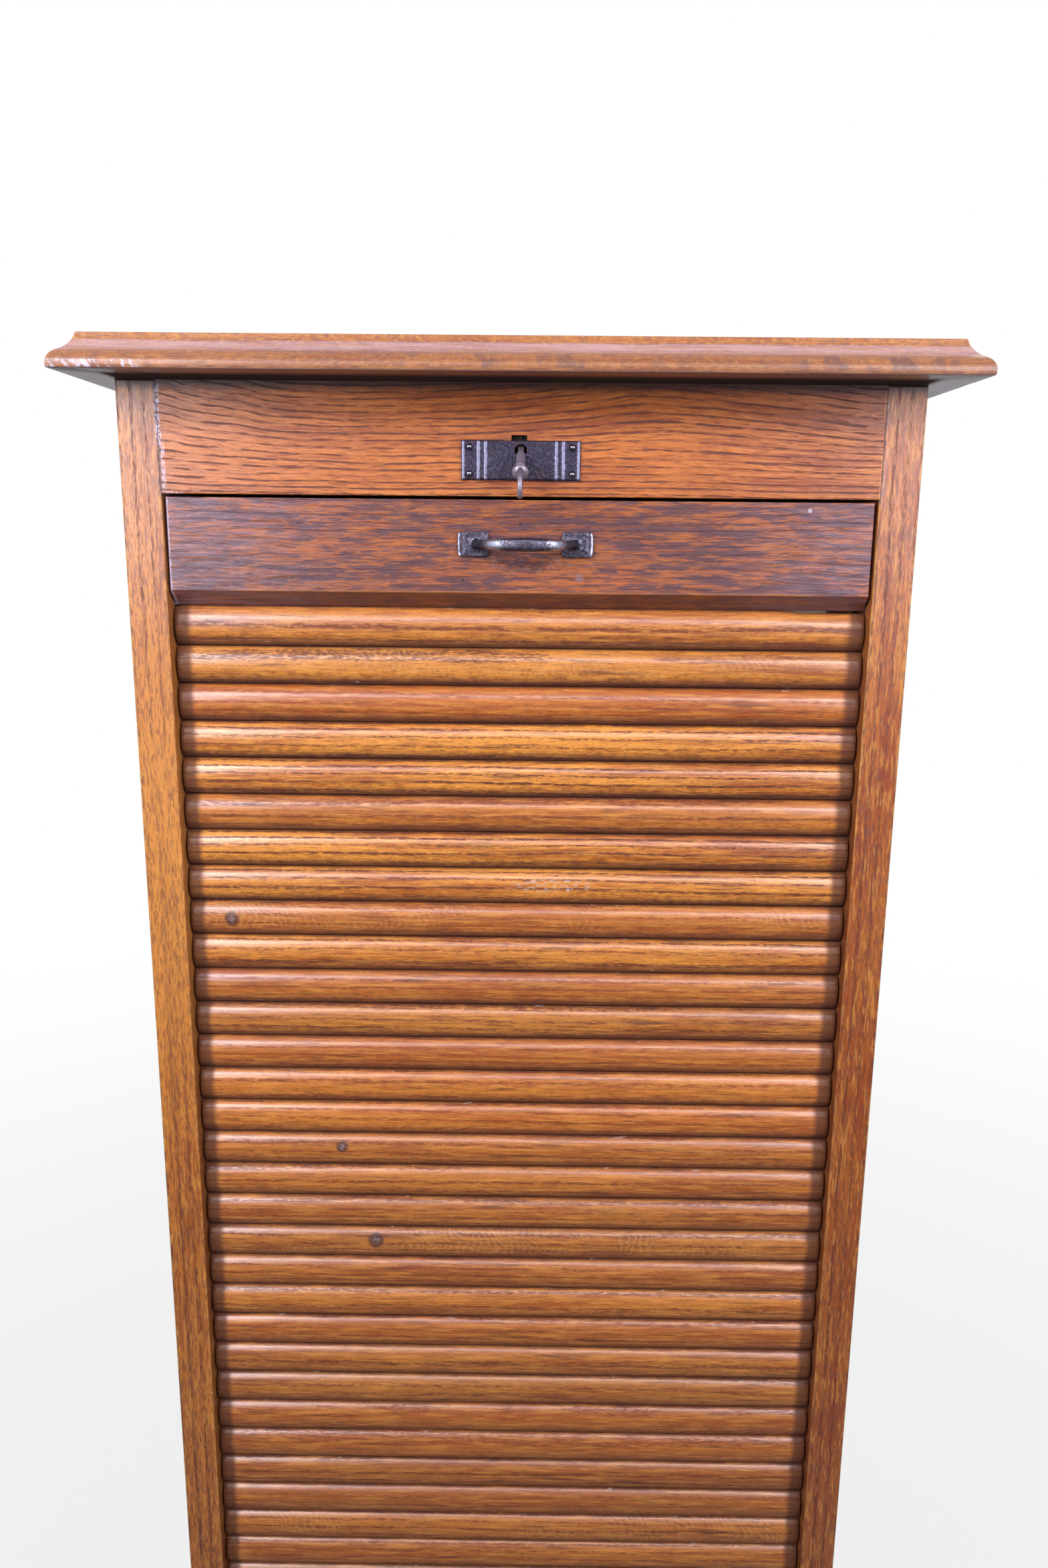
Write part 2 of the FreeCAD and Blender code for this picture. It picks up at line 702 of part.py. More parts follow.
def build_key():
    """Square-ended key that hangs in the keyhole, turned down round the hole's lower lip."""
    lip = Vector(lock_offset, -plate_thickness, key_lip_height)
    out = Vector(0, -1, 0)
    axis = lip + Vector(0, 0, key_rest_gap + key_square / 2)
    half = key_square / 2
    square = box(axis.x - half, axis.x + half, axis.y - key_shoulder, axis.y + key_square_inside,
                 axis.z - half, axis.z + half)
    stem_start = axis + out * key_shoulder
    stem = rod(stem_start, out, key_stem_length, key_stem_radius)
    collar_start = stem_start + out * key_stem_length
    collar_middle = collar_start + out * (key_collar_length / 2)
    collar = Part.makeSphere(key_collar_radius, collar_middle).common(
        rod(collar_start, out, key_collar_length, key_collar_radius)
    )
    bow_centre = collar_start + out * (key_collar_length + key_bow_length / 2 - key_bow_bite)
    outer = key_bow_face(bow_centre, key_bow_length / 2, key_bow_width / 2)
    inner = key_bow_face(bow_centre, key_bow_length / 2 - key_bow_rim, key_bow_width / 2 - key_bow_rim)
    thickness = Vector(key_bow_thickness, 0, 0)
    bow = outer.extrude(thickness).cut(inner.extrude(thickness))
    key = square.fuse([stem, collar, bow]).removeSplitter()
    key.rotate(lip, Vector(1, 0, 0), key_droop)
    return key


def key_bow_face(centre, half_length, half_width):
    """Oval in the upright plane through the key, one half thickness to the side of its middle."""
    ellipse = Part.Ellipse(Vector(0, 0, 0), half_length, half_width)
    face = Part.Face(Part.Wire(ellipse.toShape()))
    face.rotate(Vector(0, 0, 0), Vector(0, 0, 1), 90)
    face.rotate(Vector(0, 0, 0), Vector(0, 1, 0), 90)
    face.translate(centre - Vector(key_bow_thickness / 2, 0, 0))
    return face


# ---- Shutter: lead rail, keeper, handle, slats and canvas
def build_slats():
    """All slats: crowned in front, flat behind, with a tongue at each end for the groove."""
    height = slat_pitch - slat_gap
    tongue_end = inner_half + slat_tongue_length
    crown_end = inner_half - slat_side_gap
    low = Vector(-tongue_end, slat_valley, 0)
    high = Vector(-tongue_end, slat_valley, height)
    crest = Vector(-tongue_end, slat_valley - slat_crown, height / 2)
    back_high = Vector(-tongue_end, slat_back, height)
    back_low = Vector(-tongue_end, slat_back, 0)
    edges = [arc(low, crest, high), line(high, back_high), line(back_high, back_low), line(back_low, low)]
    slat = closed_face(edges).extrude(Vector(2 * tongue_end, 0, 0))
    for x0, x1 in ((-tongue_end - 1, -crown_end), (crown_end, tongue_end + 1)):
        slat = slat.cut(box(x0, x1, slat_valley - slat_crown - 1, slat_valley, -1, height + 1))
    slats = []
    for index in range(slat_count):
        copy = slat.copy()
        copy.translate(Vector(0, 0, slat_top - height - index * slat_pitch))
        slats.append(copy)
    return slats


def build_canvas():
    """Canvas glued to the backs of the slats and of the lead rail."""
    half = inner_half - canvas_side_margin
    low = slat_top - slat_count * slat_pitch + slat_gap
    return box(-half, half, slat_back, canvas_back, low, lead_bottom + canvas_lap)


def handle_screw_starts():
    middle = handle_offset
    reach = handle_length / 2 - handle_screw_inset
    return [Vector(middle + side * reach, slat_back, handle_height) for side in (-1, 1)]


handle_face = lead_rail_set_back
handle_screw_length = slat_back - handle_face + handle_screw_bite


def build_lead_rail():
    """Lead rail of the shutter with the keeper plate let into its top, and its screws."""
    half = inner_half - shutter_side_gap
    tongue = inner_half + slat_tongue_length
    front = lead_rail_set_back
    outline = [
        (-half, front, lead_top), (-half, front, lead_face_bottom),
        (-half, front + lead_rail_chamfer_depth, lead_bottom),
        (-half, slat_back, lead_bottom), (-half, slat_back, lead_top),
    ]
    rail = polygon_prism(outline, Vector(2 * half, 0, 0))
    rail = rounded(rail, edge_round, on_plane(1, front))
    rail = rail.fuse(box(-tongue, tongue, slat_valley, slat_back, lead_bottom, lead_top)).removeSplitter()
    middle_y = bolt_setback + bolt_thickness / 2
    claw_low = key_height - bolt_radius - bolt_clearance
    keeper_bottom = lead_top - keeper_thickness
    left = lock_offset - sweep_width(bolt_radius, key_height - lead_top) - bolt_clearance
    keeper_x0 = left - 2 * keeper_screw_inset
    keeper_x1 = keeper_x0 + keeper_length
    y0 = middle_y - keeper_width / 2
    y1 = middle_y + keeper_width / 2
    gap = sweep_width(bolt_radius - bolt_claw_width, key_height - keeper_bottom) - bolt_clearance
    keeper = box(keeper_x0, keeper_x1, y0, y1, keeper_bottom, lead_top)
    keeper = keeper.cut(bolt_slot(lead_top, keeper_bottom - 1, gap))
    recess = box(keeper_x0, keeper_x1, y0, y1, keeper_bottom, lead_top + 1)
    mortise = box(left, keeper_x1 - 2 * keeper_screw_inset, bolt_setback - bolt_clearance,
                  bolt_setback + bolt_thickness + bolt_clearance, claw_low, lead_top)
    screw_places = (keeper_x0 + keeper_screw_inset, keeper_x1 - keeper_screw_inset)
    starts = [Vector(x, middle_y, lead_top) for x in screw_places]
    down = Vector(0, 0, -1)
    keeper_screws, keeper_holes = screw_set(starts, down, keeper_screw_length, small_screw, True)
    handle_screws, handle_holes = screw_set(
        handle_screw_starts(), Vector(0, -1, 0), handle_screw_length, wood_screw, True
    )
    rail = cut_all(rail, [recess, mortise] + keeper_holes + handle_holes)
    return rail, cut_all(keeper, keeper_holes), keeper_screws, handle_screws, handle_holes


def build_handle(holes):
    """Bow handle: two base plates joined by a bar that swells towards its middle."""
    half = handle_length / 2
    bar_half = half - handle_bar_inset
    z = handle_height
    x = handle_offset
    y = handle_face
    low = z - handle_bar_height
    outer = [Vector(x - bar_half, y, low), Vector(x, y - handle_reach, low), Vector(x + bar_half, y, low)]
    foot = handle_bar_foot
    inner = [
        Vector(x - bar_half + foot, y, low),
        Vector(x, y - handle_reach + handle_bar_thickness, low),
        Vector(x + bar_half - foot, y, low),
    ]
    face = closed_face([
        arc(*outer), line(outer[2], inner[2]), arc(inner[2], inner[1], inner[0]), line(inner[0], outer[0]),
    ])
    bar = face.extrude(Vector(0, 0, 2 * handle_bar_height))
    swell = handle_bar_height / 2
    neck = handle_bar_end_height / 2
    left = x - half
    right = x + half
    front = y - handle_reach - 1
    lens = closed_face([
        arc(Vector(left, front, z + neck), Vector(x, front, z + swell), Vector(right, front, z + neck)),
        line(Vector(right, front, z + neck), Vector(right, front, z - neck)),
        arc(Vector(right, front, z - neck), Vector(x, front, z - swell), Vector(left, front, z - neck)),
        line(Vector(left, front, z - neck), Vector(left, front, z + neck)),
    ]).extrude(Vector(0, handle_reach + 2, 0))
    bar = bar.common(lens)
    bases = []
    for side in (-1, 1):
        x0 = x + side * half - (handle_base_length if side > 0 else 0)
        base = box(x0, x0 + handle_base_length, y - handle_base_thickness, y,
                   z - handle_base_height / 2, z + handle_base_height / 2)
        bases.append(rounded(base, handle_edge_round, on_plane(1, y - handle_base_thickness)))
    return cut_all(bar.fuse(bases).removeSplitter(), holes)


# ---- Trays
def build_tray(index):
    """One pull-out tray: front with a finger notch, two grooved sides, back and bottom."""
    z = tray_lowest + index * tray_pitch
    top = z + tray_front_height
    side_top = z + tray_side_height
    y0 = tray_set_back
    y1 = y0 + tray_front_thickness
    y2 = tray_rear - tray_back_thickness
    inner = tray_half - tray_side_thickness
    front = box(-tray_half, tray_half, y0, y1, z, top)
    front = rounded(front, 2 * edge_round, on_plane(1, y0))
    notch = rod(Vector(0, y0 - 1, top), Vector(0, 1, 0), tray_front_thickness + 2, tray_notch_radius)
    front = front.cut(notch)
    groove_low = z + tray_groove_low
    groove = box(tray_half - tray_groove_depth, tray_half + 1, y1 - 1, tray_rear + 1,
                 groove_low, groove_low + tray_groove_height)
    side = box(inner, tray_half, y1, y2, z, side_top).cut(groove)
    rear = box(-tray_half, tray_half, y2, tray_rear, z, side_top).cut(groove).cut(mirrored(groove))
    lift = z + tray_bottom_lift
    floor = box(-inner, inner, y1, y2, lift, lift + tray_bottom_thickness)
    return [front, side, mirrored(side), rear, floor]


def main():
    front, rear, rails, panels, runners, runner_screws = build_side()
    save("right_front_stile", front)
    save("left_front_stile", mirrored(front))
    save("right_back_stile", rear)
    save("left_back_stile", mirrored(rear))
    save("right_side_rails", *rails)
    save("left_side_rails", *[mirrored(s) for s in rails])
    save("right_side_panels", *panels)
    save("left_side_panels", *[mirrored(s) for s in panels])
    save("right_tray_runners", *runners)
    save("left_tray_runners", *[mirrored(s) for s in runners])
    save("runner_screws", *(runner_screws + [mirrored(s) for s in runner_screws]))

    back_panel, back_rail, back_screws = build_back()
    save("back_panel", back_panel)
    save("back_top_rail", back_rail)
    save("back_screws", *back_screws)

    board, cleats, top_screws = build_top()
    save("top_board", board)
    save("top_cleats", *cleats)
    save("top_screws", *top_screws)

    bottom, bottom_cleats, inner_back, uprights = build_inside()
    save("bottom_board", bottom)
    save("bottom_cleats", *bottom_cleats)
    save("inner_back", inner_back)
    save("inner_back_cleats", *uprights)

    plinth_front, plinth_sides, stops = build_plinth()
    save("plinth_front", plinth_front)
    save("plinth_sides", *plinth_sides)
    save("shutter_stops", *stops)

    case, cover, lock_screws, lock_holes, spindle, bolt = build_lock()
    plate, pins, pin_holes = build_plate()
    save("lock_rail", build_lock_rail(lock_holes, pin_holes))
    save("lock_case", case)
    save("lock_cover", cover)
    save("lock_screws", *lock_screws)
    save("lock_spindle", spindle)
    save("swing_bolt", bolt)
    save("key_plate", plate)
    save("key_plate_pins", *pins)
    save("key", build_key())

    lead_rail, keeper, keeper_screws, handle_screws, handle_holes = build_lead_rail()
    save("lead_rail", lead_rail)
    save("keeper_plate", keeper)
    save("keeper_screws", *keeper_screws)
    save("handle", build_handle(handle_holes))
    save("handle_screws", *handle_screws)
    save("tambour_slats", *build_slats())
    save("tambour_canvas", build_canvas())

    for index in range(tray_count):
        save("tray_%d" % (index + 1), *build_tray(index))


main()
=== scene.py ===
import functools
import json
import math

import bmesh
import bpy
import numpy as np
from bpy.props import FloatProperty, FloatVectorProperty, PointerProperty
from mathutils import Matrix, Vector


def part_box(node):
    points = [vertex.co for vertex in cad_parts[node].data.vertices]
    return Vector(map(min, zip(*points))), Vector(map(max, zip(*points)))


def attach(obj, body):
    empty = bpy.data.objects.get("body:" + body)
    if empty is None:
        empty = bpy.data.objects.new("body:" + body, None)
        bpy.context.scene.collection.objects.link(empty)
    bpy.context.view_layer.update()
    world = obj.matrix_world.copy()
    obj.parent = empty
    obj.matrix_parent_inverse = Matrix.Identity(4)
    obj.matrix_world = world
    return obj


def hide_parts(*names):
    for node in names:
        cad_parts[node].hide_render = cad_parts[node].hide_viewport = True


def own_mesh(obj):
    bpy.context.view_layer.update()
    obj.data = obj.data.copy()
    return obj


bl_info = {
    "name": "Roll front cabinet",
    "version": (1, 0, 0),
    "blender": (4, 5, 0),
    "location": "View3D > Sidebar > Cabinet",
    "description": "Builds the woodwork, ironwork and studio of an oak roll front cabinet round its packed frame",
    "category": "Object",
}

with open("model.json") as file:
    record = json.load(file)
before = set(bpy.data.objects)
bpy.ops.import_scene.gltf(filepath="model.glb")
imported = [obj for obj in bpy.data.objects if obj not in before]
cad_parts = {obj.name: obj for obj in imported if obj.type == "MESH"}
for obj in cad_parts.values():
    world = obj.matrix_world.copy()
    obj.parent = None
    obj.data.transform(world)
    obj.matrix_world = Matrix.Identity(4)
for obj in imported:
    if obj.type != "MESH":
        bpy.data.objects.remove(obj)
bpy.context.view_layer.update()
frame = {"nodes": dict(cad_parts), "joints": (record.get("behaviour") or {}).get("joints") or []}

MM = 0.001
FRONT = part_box("left_front_stile")[0].y  # the front plane of the stiles
SLATS_LOW, SLATS_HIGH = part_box("tambour_slats")
JOINT_X, JOINT_Z = 0.207, 1.1375  # where the stiles meet the rails, and the lock rail's lower edge
SHUTTER_TRAVEL = next(j["range_m"][1] for j in frame["joints"] if j["name"] == "shutter_slide")


# ---------------------------------------------------------------- settings
def colour_setting(name, description, value):
    return FloatVectorProperty(name=name, description=description, default=value, size=3, min=0.0, max=1.0,
                               subtype="COLOR")


def length_setting(name, description, value):
    return FloatProperty(name=name, description=description, default=value, unit="LENGTH", subtype="DISTANCE")


def angle_setting(name, description, degrees):
    return FloatProperty(name=name, description=description, default=math.radians(degrees), subtype="ANGLE")


class CabinetWoodwork(bpy.types.PropertyGroup):
    """Sizes and colours of everything made of wood."""

    pale: colour_setting("Pale oak", "Golden wood between the pores", (0.59, 0.186, 0.033))
    deep: colour_setting("Deep oak", "Red-brown wood under the varnish", (0.33, 0.079, 0.016))
    pore: colour_setting("Pores", "Stain gathered in the pores", (0.118, 0.032, 0.02))
    lead_pale: colour_setting("Lead rail, pale", "Lead rail's wood where it is still clean", (0.385, 0.104, 0.032))
    lead_deep: colour_setting("Lead rail, deep", "Wood of the lead rail darkened by hands", (0.195, 0.052, 0.024))
    worn: colour_setting("Worn arris", "Bare wood where an edge has lost its varnish", (0.8, 0.4, 0.14))
    tray_pale: colour_setting("Tray oak, pale", "Waxed wood inside the cabinet", (0.6, 0.36, 0.15))
    tray_deep: colour_setting("Tray oak, deep", "Darker streaks of the inner oak", (0.4, 0.205, 0.075))
    pine_pale: colour_setting("Softwood, pale", "Planed softwood of the inner parts", (0.66, 0.44, 0.2))
    pine_deep: colour_setting("Softwood, deep", "Late wood lines of the softwood", (0.46, 0.25, 0.09))
    slat_pitch: length_setting("Slat pitch", "Distance from one slat to the next", 0.023)
    slat_unevenness: length_setting("Slat unevenness", "How far a slat's surface wanders", 0.00012)
    board_dents: length_setting("Dents", "Depth of the knocks along the top board's lower edge", 0.0007)


class CabinetIronwork(bpy.types.PropertyGroup):
    """Colours of the metal parts."""

    plate_dark: colour_setting("Key plate", "Hammered ground of the key plate", (0.044, 0.038, 0.06))
    plate_bright: colour_setting("Key plate, worn", "Ribs of the key plate, rubbed bright", (0.25, 0.25, 0.35))
    handle_dark: colour_setting("Handle", "Brown-black coat of the handle", (0.07, 0.064, 0.088))
    handle_bright: colour_setting("Handle, worn", "Handle where hands have polished it", (0.5, 0.52, 0.64))
    steel: colour_setting("Steel", "Nickelled steel of the key", (0.42, 0.38, 0.46))
    brass: colour_setting("Brass", "Cast brass of the lock's moving parts", (0.58, 0.37, 0.12))
    hammer_depth: length_setting("Hammer marks", "Depth of the marks on the key plate", 0.00009)


class CabinetStudio(bpy.types.PropertyGroup):
    """Camera, lamps and background."""

    lens: FloatProperty(name="Lens", description="Focal length", default=26.184, unit="CAMERA")
    place: FloatVectorProperty(name="Camera place", description="Where the camera stands",
                               default=(0.00936, -0.8475, 1.1168), size=3, subtype="TRANSLATION")
    tilt: angle_setting("Tilt", "How far the camera looks down", 12.3895)
    turn: angle_setting("Turn", "How far the camera is turned", 0.4416)
    roll: angle_setting("Roll", "How far the camera leans", -0.5446)
    softbox: FloatProperty(name="Softboxes", description="Power of each softbox", default=12.2, min=0.0, unit="POWER")
    fill: FloatProperty(name="Fill", description="Strength of the light from all around", default=0.09, min=0.0)
    floor: colour_setting("Floor", "Colour of the floor", (0.27, 0.26, 0.26))


# ---------------------------------------------------------------- numpy surfaces
def ripple(u, v, size, seed, waves=12):
    """Smooth unevenness about -1 to 1: the mean of sine waves about one size long, with random headings."""
    rng = np.random.default_rng(seed)
    heading = rng.uniform(0, 2 * np.pi, waves)
    phase = rng.uniform(0, 2 * np.pi, waves)
    length = size * rng.uniform(0.6, 1.6, waves)
    along = np.asarray(u)[..., None] * np.cos(heading) + np.asarray(v)[..., None] * np.sin(heading)
    return np.sin(2 * np.pi * along / length + phase).mean(-1) * math.sqrt(2.0 * waves) / 2.2


def ease(low, high, x):
    """0 below low, 1 above high, and a smooth cubic between."""
    t = np.clip((np.asarray(x, float) - low) / (high - low), 0.0, 1.0)
    return t * t * (3 - 2 * t)


def bell(x, width):
    """Bell curve, 1 in the middle."""
    return np.exp(-(np.asarray(x, float) / width) ** 2)


def arc_through(a, b, c, count):
    """Points on the circle through three points of a plane: angles from a to c, evenly spaced, past b."""
    a, b, c = (complex(*p) for p in (a, b, c))
    w = (c - a) / (b - a)
    centre = a + (b - a) * (abs(w) ** 2 - w) / (w.conjugate() - w)
    start, middle, end = (np.angle(p - centre) for p in (a, b, c))
    middle, end = (start + (x - start + np.pi) % (2 * np.pi) - np.pi for x in (middle, end))
    if (end - start) * (middle - start) < 0:
        end += math.copysign(2 * np.pi, middle - start)
    turn = np.linspace(start, end, count)
    points = centre + abs(a - centre) * np.exp(1j * turn)
    return np.stack([points.real, points.imag], -1)


def grid_faces(rows, columns, wrap=False, first=0):
    """Quads between the neighbours of a grid of points; wrap joins its last column to its first."""
    row, column = np.meshgrid(np.arange(rows - 1), np.arange(columns - (not wrap)), indexing="ij")
    after = (column + 1) % columns
    low, high = first + row * columns, first + (row + 1) * columns
    return np.stack([low + column, low + after, high + after, high + column], -1).reshape(-1, 4)


def tube_faces(rows, columns, first=0, ring=False):
    """Faces of a closed form whose rows are closed rings: quads between the rows, and a face at each end
    or, for a ring, quads from the last row to the first."""
    faces = grid_faces(rows, columns, True, first).tolist()
    if ring:
        column = np.arange(columns)
        after = (column + 1) % columns
        last = first + (rows - 1) * columns
        return faces + np.stack([last + column, last + after, first + after, first + column], -1).tolist()
    return faces + [list(range(first, first + columns))[::-1],
                    list(range(first + (rows - 1) * columns, first + rows * columns))]


def shell(points, faces, back):
    """A sheet given thickness: its own points, the points of its back, the faces turned round on the back,
    and a quad along each edge that only one face uses."""
    faces = np.asarray(faces)
    count = len(points)
    edges = np.stack([faces, np.roll(faces, -1, axis=1)], -1).reshape(-1, 2)
    key = np.sort(edges, 1)
    _, index, uses = np.unique(key[:, 0] * count + key[:, 1], return_index=True, return_counts=True)
    rim = edges[index[uses == 1]]
    walls = np.stack([rim[:, 1], rim[:, 0], rim[:, 0] + count, rim[:, 1] + count], -1)
    return np.concatenate([points, back]), np.concatenate([faces, faces[:, ::-1] + count, walls])


def joined(forms, rings=()):
    """Several closed forms as one: all their points, and their faces counted on from form to form. Rings names the
    forms that close on themselves."""
    faces, first = [], 0
    for number, form in enumerate(forms):
        rows, columns = form.shape[:2]
        faces += tube_faces(rows, columns, first, number in rings)
        first += rows * columns
    return np.concatenate([np.reshape(form, (-1, 3)) for form in forms]), faces


def section(count, power):
    """Closed outline of a superellipse with half sizes of 1: |a|^power + |b|^power = 1."""
    turn = np.linspace(0, 2 * np.pi, count, endpoint=False)
    a, b = np.cos(turn), np.sin(turn)
    share = 2.0 / power
    return np.sign(a) * np.abs(a) ** share, np.sign(b) * np.abs(b) ** share


def sweep(centres, out, side, half_out, half_side, power=2.3, count=24):
    """A section carried along a path: each row is its centre plus out and side times the section's outline."""
    a, b = section(count, power)
    return (centres[:, None, :]
            + out[:, None, :] * (half_out[:, None] * a)[..., None]
            + side[:, None, :] * (half_side[:, None] * b)[..., None])


def turned(reach, radius, origin, axis, up, across, count=32):
    """A turned form: rings of a radius at each reach along an axis."""
    turn = np.linspace(0, 2 * np.pi, count, endpoint=False)
    ring = up * np.cos(turn)[:, None] + across * np.sin(turn)[:, None]
    return origin + axis * np.asarray(reach)[:, None, None] + ring * np.asarray(radius)[:, None, None]


def stand(name, data):
    """Puts an object with this data into the scene."""
    thing = bpy.data.objects.new(name, data)
    bpy.context.scene.collection.objects.link(thing)
    return thing


def make_piece(name, points, faces, body, replaced, material, smooth=35.0, marks=None):
    """Makes a piece from arrays of points and faces, with its marks, which are attributes of its points."""
    mesh = bpy.data.meshes.new(name)
    mesh.from_pydata(np.asarray(points).reshape(-1, 3).tolist(), [], [list(map(int, f)) for f in faces])
    for label, values in (marks or {}).items():
        values = np.asarray(values, float)
        kind = "FLOAT_VECTOR" if values.ndim == 2 else "FLOAT"
        layer = mesh.attributes.new(label, kind, "POINT")
        layer.data.foreach_set("vector" if values.ndim == 2 else "value", values.astype(np.float32).ravel())
    shape = bmesh.new()
    shape.from_mesh(mesh)
    bmesh.ops.recalc_face_normals(shape, faces=shape.faces)
    shape.to_mesh(mesh)
    shape.free()
    mesh.validate()
    mesh.shade_smooth()
    mesh.set_sharp_from_angle(angle=math.radians(smooth))
    piece = stand(name, mesh)
    mesh.materials.append(material)
    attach(piece, body)
    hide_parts(*replaced)
    return piece


# ---------------------------------------------------------------- shader nodes
GROUP_COLOURS = ("Pale", "Deep", "Pore", "Dark", "Bright", "Patina")  # group inputs that are colours


class Wire:
    """What a node gives. Plain arithmetic with it adds further nodes."""

    def __init__(self, wiring, socket):
        self.wiring, self.socket = wiring, socket

    def __abs__(self):
        return self.wiring.math("ABSOLUTE", self)

    def __gt__(self, other):
        return self.wiring.math("GREATER_THAN", self, other)


def calculation(operation, swapped):
    """What Wire does for one sign of arithmetic; swapped when the wire stands after the sign."""
    def calculate(wire, other):
        return wire.wiring.math(operation, *((other, wire) if swapped else (wire, other)))
    return calculate


for sign, operation in (("add", "ADD"), ("sub", "SUBTRACT"), ("mul", "MULTIPLY"), ("truediv", "DIVIDE"),
                        ("pow", "POWER")):
    setattr(Wire, f"__{sign}__", calculation(operation, False))
    setattr(Wire, f"__r{sign}__", calculation(operation, True))


class Wiring:
    """Adds nodes to one tree and joins them. An input is a number, a colour, a vector or a wire."""

    def __init__(self, tree):
        self.tree = tree

    def add(self, kind, inputs=None, **settings):
        node = self.tree.nodes.new("ShaderNode" + kind)
        node.location = (220 * (len(self.tree.nodes) % 12), -240 * (len(self.tree.nodes) // 12))
        for name, value in settings.items():
            setattr(node, name, value)
        self.fill(node, inputs or {})
        return node

    def fill(self, node, inputs):
        """Joins wires to a node's inputs and sets the others to their values."""
        for name, value in inputs.items():
            socket = node.inputs[name]
            if isinstance(value, Wire):
                self.tree.links.new(value.socket, socket)
            else:
                socket.default_value = (*value, 1.0) if socket.type == "RGBA" and len(value) == 3 else value

    def wire(self, output, kind, inputs=None, **settings):
        """One output of a new node."""
        return Wire(self, self.add(kind, inputs, **settings).outputs[output])

    def wires(self, kind, inputs=None, **settings):
        """All outputs of a new node, by name."""
        return {socket.name: Wire(self, socket) for socket in self.add(kind, inputs, **settings).outputs}

    def math(self, operation, a, b=0.0):
        return self.wire(0, "Math", {0: a, 1: b}, operation=operation)

    def most(self, *values):
        return functools.reduce(lambda a, b: self.math("MAXIMUM", a, b), values)

    def least(self, a, b):
        return self.math("MINIMUM", a, b)

    def clamp(self, wire):
        """The same wire, kept between 0 and 1 by the node it comes from."""
        wire.socket.node.use_clamp = True
        return wire

    def vector(self, operation, a, b=(0.0, 0.0, 0.0), c=(0.0, 0.0, 0.0)):
        return self.wire(int(operation == "LENGTH"), "VectorMath", {0: a, 1: b, 2: c}, operation=operation)

    def ramp(self, value, low, high, start=0.0, end=1.0):
        """From start to end, smoothly, while the value goes from low to high."""
        return self.wire(0, "MapRange", {0: value, 1: low, 2: high, 3: start, 4: end},
                         interpolation_type="SMOOTHSTEP")

    def noise(self, vector, scale, detail=2.0, roughness=0.5):
        """Noise about 0.5, with one scale or one along each axis."""
        if isinstance(scale, tuple):
            vector, scale = self.vector("MULTIPLY", vector, scale), 1.0
        return self.wire(0, "TexNoise", {"Vector": vector, "Scale": scale, "Detail": detail, "Roughness": roughness})

    def mix(self, share, a, b):
        return self.wire(2, "Mix", {0: share, 6: a, 7: b}, data_type="RGBA")

    def parts(self, vector):
        return tuple(self.wires("SeparateXYZ", {0: vector}).values())

    def join(self, x, y, z):
        return self.wire(0, "CombineXYZ", {0: x, 1: y, 2: z})

    def place(self):
        return self.wire("Object", "TexCoord")

    def mark(self, name, vector=False):
        return self.wire("Vector" if vector else "Fac", "Attribute", attribute_name=name)

    def group(self, name, inputs):
        """The outputs of a shared group, by name. The group is made the first time it is asked for."""
        return self.wires("Group", inputs, node_tree=bpy.data.node_groups.get(name) or GROUP_MAKERS[name]())

    def spot(self, place, x, z, wide, tall, ragged, y=FRONT, deep=0.05):
        """An oval mark with its middle at a place of the front."""
        return self.group("spot", {"Vector": place, "Centre": (x, y, z), "Size": (wide, deep, tall),
                                   "Ragged": ragged})


def new_group(name, inputs, outputs):
    """An empty node group with named sockets. Gives its wiring, its inputs and a function that sets an output."""
    tree = bpy.data.node_groups.new(name, "ShaderNodeTree")
    for label, value in inputs.items():
        kind = "Float" if isinstance(value, float) else "Color" if label in GROUP_COLOURS else "Vector"
        socket = tree.interface.new_socket(name=label, in_out="INPUT", socket_type="NodeSocket" + kind)
        socket.default_value = (*value, 1.0) if kind == "Color" else value
    for label in outputs:
        kind = "Color" if label == "Color" else "Float"
        tree.interface.new_socket(name=label, in_out="OUTPUT", socket_type="NodeSocket" + kind)
    w = Wiring(tree)
    given = {socket.name: Wire(w, socket) for socket in tree.nodes.new("NodeGroupInput").outputs}
    result = tree.nodes.new("NodeGroupOutput")
    return tree, w, given, lambda label, value: w.fill(result, {label: value})


